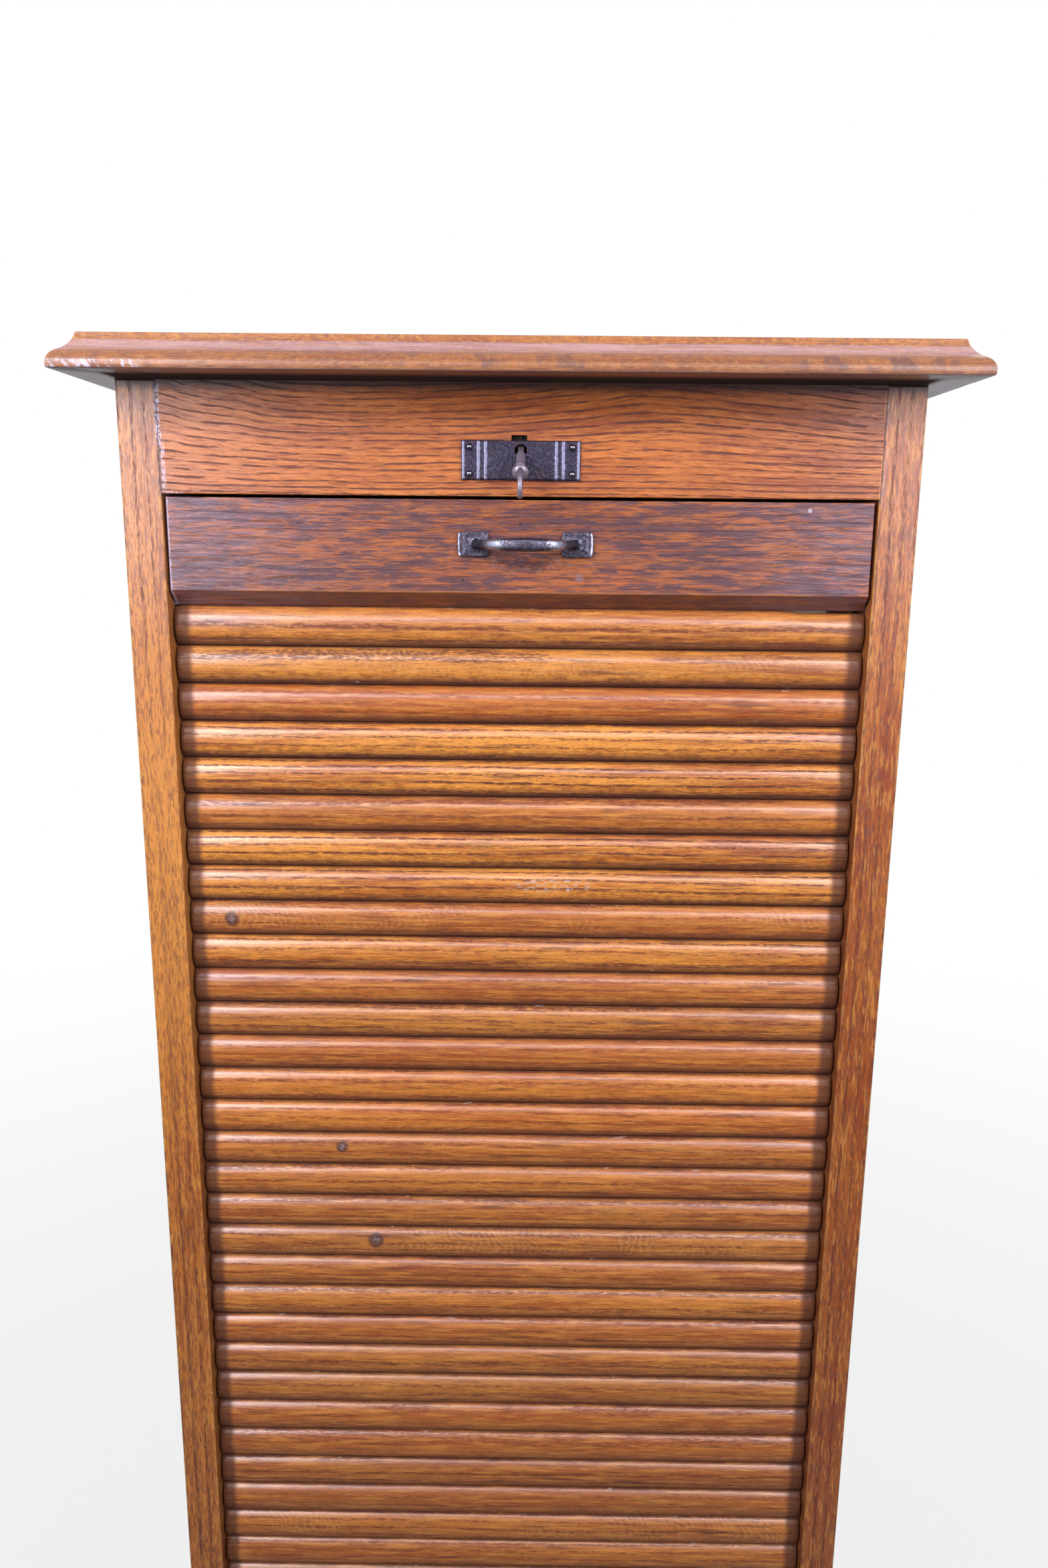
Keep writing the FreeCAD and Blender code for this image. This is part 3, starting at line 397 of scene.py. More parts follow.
def make_oak_grain():
    """Oak in a board's own coordinates, x along the grain: rings round a pith, dashes of pores in the early wood of
    each ring and a few between, fine dark flecks, streaks of fibre and clouds of tone."""
    tree, w, given, put = new_group(
        "oak_grain",
        {"Vector": (0, 0, 0), "Seed": 0.0, "Spacing": 0.0045, "Waviness": 0.004, "Pith Across": 0.05,
         "Pith Depth": 0.03, "Dash": 80.0, "Pale": (0.6, 0.22, 0.05), "Deep": (0.4, 0.1, 0.02),
         "Pore": (0.1, 0.03, 0.03), "Pores": 1.0},
        ["Color", "Height", "Gloss", "Varnish"],
    )
    spot = w.vector("MULTIPLY_ADD", (5.31, 2.17, 3.73), given["Seed"], given["Vector"])
    slow = w.noise(spot, (2.6, 9, 9), 2) - 0.5
    quick = w.noise(spot, (19, 60, 60), 2) - 0.5
    sway = (slow * 3.2 + quick * 0.8) * given["Waviness"]
    bent = w.vector("ADD", spot, w.join(0.0, sway, sway * 0.4))
    _, y, z = w.parts(given["Vector"])
    across = y - given["Pith Across"] + sway
    depth = z - given["Pith Depth"]
    radius = w.math("SQRT", across * across + depth * depth)
    rings = radius / given["Spacing"] + given["Seed"]
    year = w.wire("Value", "TexWhiteNoise", {"W": w.math("FLOOR", rings)}, noise_dimensions="1D")
    phase = w.math("FRACT", rings)
    early = w.ramp(phase, 0.0, 0.1) * w.ramp(phase, 0.2, 0.46, 1.0, 0.0) * (year * 0.45 + 0.55)
    pore = w.noise(w.vector("MULTIPLY", bent, w.join(given["Dash"], 900, 900)), 1, 2, 0.58)
    pore = w.ramp((early - 0.5) * 0.25 + pore, 0.505, 0.6)
    fine = w.noise(w.vector("MULTIPLY", bent, w.join(given["Dash"] * 2.3, 2100, 2100)), 1, 1)
    fine = w.ramp(fine, 0.56, 0.68)
    fibre = w.noise(bent, (11, 300, 300), 4, 0.65) - 0.5
    hair = w.noise(bent, (75, 1050, 1050), 3, 0.62) - 0.5
    streak = w.ramp(w.noise(bent, (9, 95, 95), 3, 0.6), 0.44, 0.62)
    cloud = w.noise(bent, (6, 22, 22), 3) - 0.5
    tone = hair * 2.6 + (fibre * 2.2 + (cloud * 2.2 + 0.8))
    tone = w.clamp(tone - (streak * 0.42 + early * 0.3))
    dark = w.clamp(pore * (early * 0.4 + 0.6) * given["Pores"])
    colour = w.mix(tone, given["Deep"], given["Pale"])
    colour = w.mix(w.clamp(fine * 0.42 * given["Pores"]), colour, given["Pore"])
    colour = w.mix(early * 0.2 * given["Pores"], colour, given["Pore"])
    put("Color", w.mix(dark, colour, given["Pore"]))
    put("Height", fibre * 0.5 + (hair * 0.9 + 0.6) - (dark * 0.5 + fine * 0.15))
    put("Gloss", dark * 0.2 + cloud * 0.35)
    put("Varnish", w.clamp(hair * 1.6 + 0.95 - dark * 0.85))
    return tree


def make_worn_edge():
    """How near a place is to an edge of a box: the middle one of its three distances from the box's faces."""
    tree, w, given, put = new_group(
        "worn_edge", {"Vector": (0, 0, 0), "Centre": (0, 0, 0), "Half Size": (1, 1, 1), "Width": 0.001}, ["Mask"])
    away = w.vector("ABSOLUTE", w.vector("SUBTRACT", given["Vector"], given["Centre"]))
    a, b, c = w.parts(w.vector("SUBTRACT", given["Half Size"], away))
    middle = w.most(w.least(a, b), w.least(w.most(a, b), c))
    rough = w.noise(given["Vector"], 90, 3, 0.65)
    width = given["Width"] * w.ramp(rough, 0.36, 0.7, 0.25, 2.2)
    put("Mask", w.clamp(1.0 - middle / width))
    return tree


def make_spot():
    """An oval mark with a ragged rim: 1 in the middle, 0 outside."""
    tree, w, given, put = new_group(
        "spot", {"Vector": (0, 0, 0), "Centre": (0, 0, 0), "Size": (0.01, 0.01, 0.01), "Ragged": 0.3},
        ["Mask", "Distance"])
    away = w.vector("DIVIDE", w.vector("SUBTRACT", given["Vector"], given["Centre"]), given["Size"])
    ragged = w.noise(given["Vector"], 420, 2) - 0.5
    distance = ragged * given["Ragged"] + w.vector("LENGTH", away)
    put("Mask", w.ramp(distance, 0.62, 1.0, 1.0, 0.0))
    put("Distance", distance)
    return tree


def make_aged_metal():
    """Metal with a dark coat that is rubbed bright where it is worn, and brown patina in patches."""
    tree, w, given, put = new_group(
        "aged_metal",
        {"Vector": (0, 0, 0), "Wear": 0.0, "Dark": (0.1, 0.1, 0.1), "Bright": (0.6, 0.6, 0.6),
         "Patina": (0.2, 0.1, 0.08), "Grain": 900.0, "Patches": 0.5, "Least Roughness": 0.34},
        ["Color", "Roughness", "Height"],
    )
    speckle = w.noise(given["Vector"], given["Grain"], 3, 0.65)
    broad = w.noise(given["Vector"], 170, 3, 0.6)
    worn = w.ramp(given["Wear"] + (speckle - 0.5) * 1.3, 0.3, 1.0)
    patina = w.ramp(broad, 0.48, 0.66) * given["Patches"]
    base = w.mix(patina, given["Dark"], given["Patina"])
    base = w.mix(w.ramp(speckle, 0.42, 0.72, 0.0, 0.22), base, given["Bright"])
    put("Color", w.mix(worn, base, given["Bright"]))
    put("Roughness", worn * -0.12 + (broad * 0.3 + given["Least Roughness"]))
    put("Height", broad * 0.4 + speckle * 0.6)
    return tree


GROUP_MAKERS = {"oak_grain": make_oak_grain, "worn_edge": make_worn_edge, "spot": make_spot,
                "aged_metal": make_aged_metal}


def new_material(name, colour):
    """An empty node material. Gives the material, its wiring and its Principled shader."""
    material = bpy.data.materials.new(name)
    material.use_nodes = True
    material.diffuse_color = (*colour, 1.0)
    material.node_tree.nodes.clear()
    w = Wiring(material.node_tree)
    shader = w.add("BsdfPrincipled")
    w.add("OutputMaterial", {0: Wire(w, shader.outputs[0])})
    return material, w, shader


def bump(w, shader, height, distance, strength):
    """Relief too fine for the surface itself."""
    w.fill(shader, {"Normal": w.wire(0, "Bump", {"Height": height, "Distance": distance, "Strength": strength})})


def shaded(colour, *factors):
    """A colour with its red, green and blue each times a factor."""
    return tuple(c * f for c, f in zip(colour, factors))


GRAIN_AXES = {"X": (0, 2, 1), "Y": (1, 2, 0), "Z": (2, 0, 1)}
COAT_ROUGHNESS = 0.27


def along(w, place, axis):
    """Board coordinates from object coordinates: the grain's axis first, then across the face, then into it."""
    parts = w.parts(place)
    return w.join(*(parts[i] for i in GRAIN_AXES[axis]))


def oak(w, vector, seed, spacing, waviness, pith, dash, pale, deep, pore, pores):
    """Oak grain in board coordinates, with the outputs of the oak_grain group."""
    return w.group("oak_grain", {
        "Vector": vector, "Seed": seed, "Spacing": spacing, "Waviness": waviness, "Pith Across": pith[0],
        "Pith Depth": pith[1], "Dash": dash, "Pale": pale, "Deep": deep, "Pore": pore, "Pores": pores,
    })


def wood(name, axis, seed, pale, deep, pore, spacing=0.0045, waviness=0.004, pith=(0.05, 0.03), pores=1.0,
         dash=80.0, roughness=0.34, coat=0.55, board=None, worn=None, wear_width=0.0009, bend=None, extra=None):
    """A varnished board: oak grain along an axis, pale arrises where a box is given, and marks of its own."""
    material, w, shader = new_material(name, pale)
    place = w.place()
    grain_place = along(w, place, axis)
    if bend:
        grain_place = bend(w, grain_place)
    grain = oak(w, grain_place, seed, spacing, waviness, pith, dash, pale, deep, pore, pores)
    colour, gloss = grain["Color"], grain["Gloss"] + roughness
    if board:
        low, high = board
        mask = w.group("worn_edge", {
            "Vector": place, "Centre": (low + high) / 2, "Half Size": (high - low) / 2, "Width": wear_width,
        })["Mask"]
        colour = w.mix(mask * 0.8, colour, worn)
        gloss = mask * 0.12 + gloss
    varnish = grain["Varnish"] * coat if coat else None
    if extra:
        colour, gloss, *kept = extra(w, place, colour, gloss)
        if kept:
            varnish = varnish * kept[0]
    w.fill(shader, {"Base Color": colour, "Roughness": gloss})
    if coat:
        w.fill(shader, {"Coat Weight": varnish, "Coat Roughness": COAT_ROUGHNESS})
    bump(w, shader, grain["Height"], 0.0006, 0.85)
    return material


def metal(name, dark, bright, patina, wear=None, grain=900.0, patches=0.5, depth=0.0002, level=0.4, roughness=0.34,
          metallic=1.0):
    """Old metal. Wear is the name of the piece's own mark for it, or an even level."""
    material, w, shader = new_material(name, dark)
    aged = w.group("aged_metal", {
        "Vector": w.place(), "Wear": w.mark(wear) if wear else level, "Dark": dark, "Bright": bright,
        "Patina": patina, "Grain": grain, "Patches": patches, "Least Roughness": roughness,
    })
    w.fill(shader, {"Base Color": aged["Color"], "Roughness": aged["Roughness"], "Metallic": metallic})
    bump(w, shader, aged["Height"], depth, 0.6)
    return material


def dress(names, material):
    """Gives carried-over frame nodes a material."""
    for name in names:
        node = frame["nodes"][name]
        if not node.material_slots:
            node.data.materials.append(material)
        for slot in node.material_slots:
            slot.material = material


# ---------------------------------------------------------------- top board
TOP_NOSE = ((0.0, 3.6), (0.9, 6.2), (4.8, 10.0))
TOP_HOLLOW = ((4.8, 10.0), (9.6, 13.8), (11.9, 17.6))


def top_profile():
    """Outline of the moulded edge as (inset, height) in millimetres: a small round, the upright edge, the nose's
    arc, the hollow's arc, the step and a small round."""
    foot = [(60.0, 0.0), (1.4, 0.0), (0.55, 0.08), (0.18, 0.35), (0.0, 0.9)]
    head = [(12.25, 19.1), (12.45, 19.65), (12.85, 19.93), (13.6, 20.0), (60.0, 20.0)]
    return np.concatenate([foot, arc_through(*TOP_NOSE, 9), arc_through(*TOP_HOLLOW, 9)[1:], head])


def build_top_board(look):
    """Moulded top board. A row is the moulding's outline point, carried round left side, front and right side at its
    inset. Knocks push the lower arris in and up by bell curves along the path."""
    low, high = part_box("top_board")
    profile = top_profile() * MM
    side_steps, front_steps = 44, 100
    run = np.concatenate([np.linspace(0, 1, side_steps, endpoint=False),
                          1 + np.linspace(0, 1, front_steps, endpoint=False), 2 + np.linspace(0, 1, side_steps)])
    inset, rise = profile[:, 0][:, None], profile[:, 1][:, None]
    reach_x, reach_y = high.x - low.x, high.y - low.y

    def pick(left, front, right):
        return np.where(run < 1, left, np.where(run < 2, front, right))

    path = pick(run * reach_y, reach_y + (run - 1) * reach_x, reach_y + reach_x + (run - 2) * reach_y)[None, :]
    rng = np.random.default_rng(5)
    knocks = np.concatenate([reach_y + rng.uniform(0.004, 0.07, 9), reach_y + rng.uniform(0.08, 0.5, 9),
                             rng.uniform(0.05, 0.38, 5), reach_y + reach_x + rng.uniform(0.02, 0.3, 5)])
    size = np.concatenate([rng.uniform(0.5, 1.0, 9), rng.uniform(0.1, 0.35, 9), rng.uniform(0.2, 0.6, 10)])
    dent = (bell(path[..., None] - knocks, 0.0022) * size).sum(-1) * look.board_dents
    waver = np.clip(1 + ripple(path, rise * 3, 0.05, 11), 0, None) * 0.0001
    waver = waver * ease(0.0, 0.0005, rise) * ease(0.0202, 0.0195, rise)
    inset = inset + (dent * bell(rise - 0.0006, 0.0018) + waver)
    rise = rise + dent * bell(rise, 0.0015) * 0.5
    left_x, right_x, front_y = low.x + inset, high.x - inset, low.y + inset
    x = pick(left_x, left_x + (right_x - left_x) * (run - 1), right_x)
    y = pick(high.y + (front_y - high.y) * run, front_y, front_y + (high.y - front_y) * (run - 2))
    z = low.z + np.broadcast_to(rise, x.shape)
    points = np.stack([x, y, z], -1)
    faces = tube_faces(*x.shape)

    def marks(w, place, colour, gloss):
        """Dark blotches on the nose, a painted sheen in the hollow, pale bruises along the lower arris near the left
        corner, painted shade on the underside.
        """
        px, py, pz = w.parts(place)
        up = pz - low.z
        under = w.ramp(up, 0.0011, 0.0002)
        face = w.ramp(up, 0.0105, 0.009) * w.ramp(up, 0.001, 0.0024)
        rim = w.ramp(up, 0.015, 0.0165)
        mottle = w.ramp(w.noise(place, (170, 260, 260), 4, 0.68), 0.44, 0.6)
        colour = w.mix(mottle * (w.most(face, rim) * 0.45 + 0.12), colour, (0.2, 0.075, 0.038))
        fleck = w.ramp(w.noise(place, (330, 520, 520), 3, 0.65), 0.5, 0.62)
        colour = w.mix(fleck * 0.5, colour, (0.58, 0.262, 0.06))
        smudge = w.ramp(w.noise(place, (125, 90, 60), 3, 0.6), 0.47, 0.6) * face
        smudge = smudge * w.ramp(w.noise(place, (11, 20, 20), 2), 0.4, 0.58, 0.25, 1.0)
        colour = w.mix(smudge * 0.8, colour, (0.1, 0.046, 0.046))
        # painted sheen: a patchy lilac brightening in the hollow, standing in for its reflection of the light above
        hollow = w.ramp(up, 0.0088, 0.0122) * w.ramp(up, 0.0166, 0.015)
        hollow_sheen = w.ramp(w.noise(place, (30, 300, 500), 4, 0.62), 0.34, 0.62, 0.45, 0.95)
        colour = w.mix(hollow * hollow_sheen * 0.5, colour, (0.64, 0.49, 0.57))
        line = w.ramp(up, 0.0026, 0.0012) * w.ramp(up, 0.0001, 0.0005)
        rubbed = w.ramp(w.noise(place, (90, 90, 90), 4), 0.4, 0.6, 0.0, 0.45)
        colour = w.mix(face * 0.3, colour, (0.26, 0.088, 0.03))
        colour = w.mix(line * 0.8, colour, (0.17, 0.058, 0.028))
        colour = w.mix(line * rubbed, colour, (0.5, 0.215, 0.052))
        near = w.ramp(up, 0.0052, 0.0036) * w.ramp(up, -0.001, 0.0006)
        bruise = w.ramp(w.noise(w.vector("ADD", place, w.join(pz * 0.6, 0, 0)), (300, 150, 150), 3, 0.66),
                        0.47, 0.6)
        bruise = bruise * (near * w.ramp(px, -0.196, -0.21))
        colour = w.mix(bruise * 0.75, colour, (0.66, 0.63, 0.76))
        # painted shade on the underside (under): dark brown at its ends, near black between the stiles behind the
        # lock rail's front, with a duller coat there
        underside_shade = w.ramp(py, FRONT - 0.036, FRONT - 0.02)
        underside_shade = underside_shade * under * w.ramp(abs(px), 0.231, 0.225)
        shade = w.mix(underside_shade, (0.15, 0.082, 0.074), (0.003, 0.003, 0.005))
        colour = w.mix(under * 0.97, colour, shade)
        ends = w.ramp(py, low.y + 0.01, low.y + 0.026) * w.ramp(up, 0.0004, 0.0012)
        flat = w.most(w.ramp(up, 0.0192, 0.0198), ends)
        gloss = underside_shade * 0.6 + (flat * 0.16 + gloss)
        dull = w.most(underside_shade, line, flat * 0.85)
        return colour, line * 0.2 + gloss, 1.0 - dull

    material = wood("oak_top", "X", 3.0, shaded(look.pale, 0.76, 0.86, 1.0), shaded(look.deep, 0.9, 0.95, 1.1),
                    look.pore, spacing=0.0038, waviness=0.005, pith=(1.26, 0.1), pores=0.35, dash=110.0, coat=0.9,
                    extra=marks)
    make_piece("moulded_top", points, faces, "cabinet", ["top_board"], material, smooth=30.0)


# ---------------------------------------------------------------- slats and canvas
CROWN_END = 205.8  # half length of the rounded part, in millimetres
TONGUE_END = 214.0
SLAT_VALLEY, SLAT_BACK, SLAT_CREST = 0.0128, 0.0166, 0.006  # behind the stiles' front, and the crown's height
CREST_Y = FRONT + 0.0075  # where marks on the slats' crests have their middle
# colour of the painted shade on the slats' lower parts and in the valleys between them
SLAT_SHADE = (0.075, 0.03, 0.026)
THREAD = 0.0011  # from one thread of the canvas to the next
KNOTS = ((-0.1798, 0.8772, 0.0052, 0.0062), (-0.1139, 0.719, 0.005, 0.0046), (-0.0928, 0.65, 0.0064, 0.0062))
RAY_SLATS = (1, 8, 18, 28)
RAY_SPACING = 0.0046


def build_slats(look):
    """Half-round slats. A slat's outline is its height times (t, crown (1 - |2t-1|^2.4)^0.75), closed by a flat back,
    carried along x; its tongues are flat. Each slat has its own tilt, waver and height."""
    pitch = look.slat_pitch
    count = round((SLATS_HIGH.z - SLATS_LOW.z) / pitch)
    height = SLATS_HIGH.z - SLATS_LOW.z - (count - 1) * pitch
    inner = np.linspace(-CROWN_END + 4.0, CROWN_END - 4.0, 27)
    end_x = np.array([TONGUE_END, CROWN_END + 0.02, CROWN_END, CROWN_END - 0.5, CROWN_END - 1.4, CROWN_END - 2.6])
    end_crown = np.array([0.0, 0.0, 0.9, 0.955, 0.985, 1.0])
    x = np.concatenate([-end_x, inner, end_x[::-1]]) * MM
    crown = np.concatenate([end_crown, np.ones(len(inner)), end_crown[::-1]])
    steps = 13
    t = (1 - np.cos(np.pi * np.arange(steps + 1) / steps)) / 2
    bulge = (1 - np.abs(2 * t - 1) ** 2.4) ** 0.75
    rng = np.random.default_rng(21)
    index = np.arange(count)[:, None, None]
    lean = rng.uniform(-0.35, 0.35, count)[:, None, None]
    fullness = rng.uniform(0.93, 1.0, count)[:, None, None]
    line = x[None, :, None]
    rise = t[None, None, :]
    waver = ripple(line + 0.0 * rise, index * 0.31 + rise * 0.012, 0.07, 8) * look.slat_unevenness
    edge = ripple(line * np.ones_like(rise), index * 0.7 + np.round(rise) * 0.3, 0.028, 9) * 0.0001
    inside = ease(0.212, 0.2, np.abs(line))
    depth = SLAT_CREST * bulge * fullness * crown[None, :, None] * (1 + lean * 0.12 * (2 * rise - 1))
    y_front = FRONT + SLAT_VALLEY - depth - waver * bulge * inside
    near_edge = 1 - ease(0.0, 0.3, np.minimum(rise, 1 - rise))
    z_front = SLATS_HIGH.z - height - index * pitch + rise * height + edge * near_edge * inside
    lift = 0.0012 * ease(0.7, 1.0, rise) * ease(0.164, 0.16, line) * (index == 0) * inside
    z_front = z_front + lift
    shape = (count, len(x), steps + 3)
    y = np.full(shape, FRONT + SLAT_BACK)
    y[..., :-2] = y_front
    z = np.concatenate([z_front, z_front[..., -1:], z_front[..., :1]], -1)
    xs = np.broadcast_to(line, shape)
    points, faces = joined(np.stack([xs, y, z], -1))
    level = np.concatenate([t, [1.0, 0.0]])
    middle = SLATS_HIGH.z - height / 2 - index * pitch
    own = rng.uniform(-1.0, 1.0, (count, 3))
    grain = np.stack([xs + own[:, 0, None, None] * 0.9, z - middle, y - FRONT], -1)

    def spread(values):
        return np.broadcast_to(values, shape).reshape(-1)

    tone = rng.uniform(-1, 1, count)
    red = rng.uniform(0, 1, count)
    tone[:10] = (-0.3, -0.1, -0.75, 0.65, 0.9, -0.4, 0.8, 0.6, -0.8, 0.4)
    red[:10] = (0.3, 0.1, 1.0, 0.0, 0.0, 0.6, 0.0, 0.1, 0.8, 0.2)
    tone[10:] -= 0.25
    red[10:] = 0.25 + 0.75 * red[10:]
    marks = {
        "grain": grain.reshape(-1, 3),
        "rest": points,
        "rise": spread(level),
        "tone": spread(tone[:, None, None]),
        "red": spread(red[:, None, None]),
        "number": spread(index),
        "rays": spread(np.isin(index, RAY_SLATS)),
    }
    slats = make_piece("turned_slats", points, faces, "cabinet", ["tambour_slats"],
                       slat_material(look), smooth=50.0, marks=marks)
    1 - SHUTTER_TRAVEL / (SLATS_HIGH.z - SLATS_LOW.z)
    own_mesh(slats)


def slat_material(look):
    """Oak of the slats: each has its own grain, tone and redness, painted shade in the valleys and on its lower part,
    grime and painted stile shadow at the ends, the lower slats painted darker, knots, curved ray figure on some and
    pale nicks along the edges."""
    material, w, shader = new_material("oak_slats", look.pale)
    grain_place, rest = w.mark("grain", True), w.mark("rest", True)
    rise, tone, red, number = w.mark("rise"), w.mark("tone"), w.mark("red"), w.mark("number")
    grain = oak(w, grain_place, number * 1.37, 0.0042, 0.0026, (tone * 0.035, 0.03), 210.0, (0.86, 0.332, 0.042),
                (0.42, 0.104, 0.011), shaded(look.pore, 0.9, 0.8, 0.8), 0.9)
    colour, gloss = grain["Color"], grain["Gloss"] + 0.42
    colour = w.mix(w.ramp(tone, -1.0, 1.0, 0.42, 0.0), colour, (0.16, 0.046, 0.015))
    colour = w.mix(red * 0.5, colour, (0.52, 0.112, 0.013))
    # painted shade: slats 14 to 32 grow darker step by step, standing in for the light falling off downwards
    colour = w.mix(w.ramp(number, 14.0, 32.0, 0.0, 0.3), colour, (0.16, 0.046, 0.018))
    x = w.parts(rest)[0]
    arcs = (w.noise(rest, (45, 90, 90), 3) - 0.5) * 0.024 + (abs(rise - 0.45) ** 2.0 * 0.03 + x)
    arcs = w.math("SINE", arcs * (2 * math.pi / RAY_SPACING))
    arcs = w.ramp(arcs, -0.1, 0.9) * w.ramp(w.noise(rest, (14, 60, 60)), 0.46, 0.62)
    arcs = arcs * (w.mark("rays") * w.ramp(rise, 0.18, 0.35))
    colour = w.mix(arcs * 0.24, colour, (0.74, 0.43, 0.16))
    # blotchy stain, grown stronger towards the bottom of each slat as painted shade on its lower part
    mottle = w.ramp(w.noise(rest, (170, 420, 420), 4, 0.66), 0.44, 0.62)
    mottle = mottle * w.ramp(rise, 0.62, 0.16, 0.16, 0.62)
    colour = w.mix(mottle, colour, (0.205, 0.053, 0.009))
    long = w.ramp(w.noise(grain_place, (26, 360, 360), 4, 0.62), 0.53, 0.67)
    long = long * w.ramp(w.noise(rest, (7, 42, 42)), 0.44, 0.58, 0.15, 1.0)
    colour = w.mix(long * 0.72, colour, (0.12, 0.031, 0.009))
    gleam = w.ramp(w.noise(grain_place, (34, 420, 420), 4, 0.62), 0.48, 0.64)
    colour = w.mix(gleam * 0.38, colour, (0.88, 0.37, 0.062))
    for knot_x, knot_z, width, tall in KNOTS:
        spot = w.spot(rest, knot_x, knot_z, width, tall, 0.55, CREST_Y, 0.02)
        colour = w.mix(spot["Mask"] * 0.8, colour, (0.06, 0.024, 0.022))
        eye = w.ramp(spot["Distance"], 0.2, 0.5, 0.85, 0.0)
        colour = w.mix(eye * w.ramp(w.noise(rest, 700), 0.4, 0.6), colour, (0.3, 0.22, 0.24))
    wander = (w.noise(rest, (60, 60, 60)) - 0.5) * 0.1
    level = rise + wander
    # painted shade: each slat darkens over its lower third and at its top edge, where the valleys between slats lie
    # in shade
    valley_shade = w.most(w.ramp(level, 0.33, 0.02, 0.0, 0.84), w.ramp(level, 0.93, 1.0, 0.0, 0.72))
    # painted stile shadow and grime: the last few millimetres at each end of a slat are darkened and lose their coat
    end = w.ramp(wander * 0.02 + abs(x), 0.1945, 0.1992, 0.0, 0.84)
    colour = w.mix(valley_shade, colour, SLAT_SHADE)
    colour = w.mix(end, colour, (0.105, 0.038, 0.02))
    nick = w.ramp(w.noise(rest, (120, 300, 300), 2), 0.7, 0.74)
    nick = nick * w.most(w.ramp(rise, 0.22, 0.08), w.ramp(rise, 0.9, 0.97))
    nick = nick * w.ramp(abs(x), 0.19, 0.16)
    colour = w.mix(nick * 0.5, colour, (0.56, 0.44, 0.38))
    scuff = w.spot(rest, 0.022, 0.901, 0.03, 0.005, 0.6, CREST_Y, 0.02)["Mask"]
    scuff = scuff * w.ramp(w.noise(rest, (260, 900, 900), 2), 0.52, 0.62)
    colour = w.mix(scuff * 0.7, colour, (0.6, 0.47, 0.42))
    shade_and_dirt = w.most(valley_shade, end)
    w.fill(shader, {"Base Color": colour, "Roughness": shade_and_dirt * 0.35 + gloss, "IOR": 1.36,
                    "Coat Weight": (grain["Varnish"] * 0.65 + 0.3) * (1.0 - shade_and_dirt), "Coat Roughness": 0.25,
                    "Coat IOR": 1.84})
    bump(w, shader, grain["Height"], 0.0006, 0.8)
    return material


def build_canvas(look):
    """Woven canvas behind the slats. A grid of points is drawn a little into each gap between two slats, by a bell
    curve round every gap, and its edges wander as a cut edge does."""
    low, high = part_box("tambour_canvas")
    s = np.linspace(0, 1, 61)[None, :]
    t = np.linspace(0, 1, 265)[:, None]
    x = low.x + (high.x - low.x) * s + 0.0 * t
    z = low.z + (high.z - low.z) * t + 0.0 * s
    cut = ripple(z, 0 * z, 0.02, 4) * 0.0006 * (ease(0.46, 0.5, np.abs(s - 0.5)) * np.sign(s - 0.5))
    gap = ((SLATS_HIGH.z - z) / look.slat_pitch + 0.5) % 1.0 - 0.5
    sag = bell(gap, 0.12) * 0.0001 * ease(0.0, 0.004, SLATS_HIGH.z - z)
    y = low.y + 0.00012 + ripple(x, z, 0.06, 5) * 0.00003 - sag * 0.6
    front = np.stack([x - np.abs(cut) * np.sign(s - 0.5), y, z], -1).reshape(-1, 3)
    back = front + (0.0, 0.00055, 0.0)
    points, faces = shell(front, grid_faces(len(t), s.shape[1]), back)
    material, w, shader = new_material("woven_canvas", (0.55, 0.48, 0.36))
    rest = w.mark("rest", True)
    across, _, up = w.parts(rest)
    wobble = (w.noise(rest, 160, 2) - 0.5) * 0.9
    warp, weft = (w.math("SINE", place * (2 * math.pi / THREAD) + wobble) for place in (across, up))
    thread = w.ramp(warp * weft, -0.8, 0.8)
    slub = w.noise(rest, (700, 700, 60), 2)
    stain = w.ramp(w.noise(rest, 14, 3), 0.42, 0.66)
    colour = w.mix(thread, (0.3, 0.25, 0.17), (0.6, 0.53, 0.4))
    colour = w.mix(w.ramp(slub, 0.5, 0.8, 0.0, 0.4), colour, (0.68, 0.62, 0.5))
    colour = w.mix(stain * 0.45, colour, (0.33, 0.21, 0.1))
    w.fill(shader, {"Base Color": colour, "Roughness": thread * -0.08 + 0.9, "Sheen Weight": 0.2})
    bump(w, shader, thread, 0.0002, 0.8)
    canvas = make_piece("slat_canvas", points, faces, "cabinet", ["tambour_canvas"], material,
                        marks={"rest": np.concatenate([front, front])})
    1 - SHUTTER_TRAVEL / (high.z - low.z)
    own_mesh(canvas)


# ---------------------------------------------------------------- key plate, pins, key and handle
PLATE_CENTRE = Vector((0.0006, 0.0, 1.1629))
PLATE_HALF = 34.2
PLATE_BELOW, PLATE_ABOVE = 16.4, 5.6
HOLE_RADIUS = 3.7
RIB_PLACES = (20.2, 24.3, 33.1)
RIB_HALF, RIB_HEIGHT = 1.15, 0.66
PLATE_GROUND = 1.42  # the plate's thickness between its ribs
PIN_RADIUS, PIN_HEIGHT = 2.0, 1.85


def plate_height(x, z, look):
    """Relief of the key plate in millimetres at a place counted from the keyhole: an even ground, half-round ribs,
    a raised rim round the hole, edges that fall off, and hammer marks."""
    ribs = sum(np.sqrt(np.clip(1 - ((np.abs(x) - place) / RIB_HALF) ** 2, 0, 1)) for place in RIB_PLACES)
    edge = np.minimum(PLATE_HALF - np.abs(x), np.minimum(z + PLATE_BELOW, PLATE_ABOVE - z))
    rim = bell(np.hypot(x, z) - HOLE_RADIUS, 0.55)
    marks = ripple(x, z, 2.4, 31, 16) * look.hammer_depth / MM
    ground = PLATE_GROUND + 0.16 * rim + marks * (1 - 0.3 * ribs)
    return ground + RIB_HEIGHT * ribs - 0.55 * (1 - ease(0.0, 0.7, edge)), ribs, rim, edge


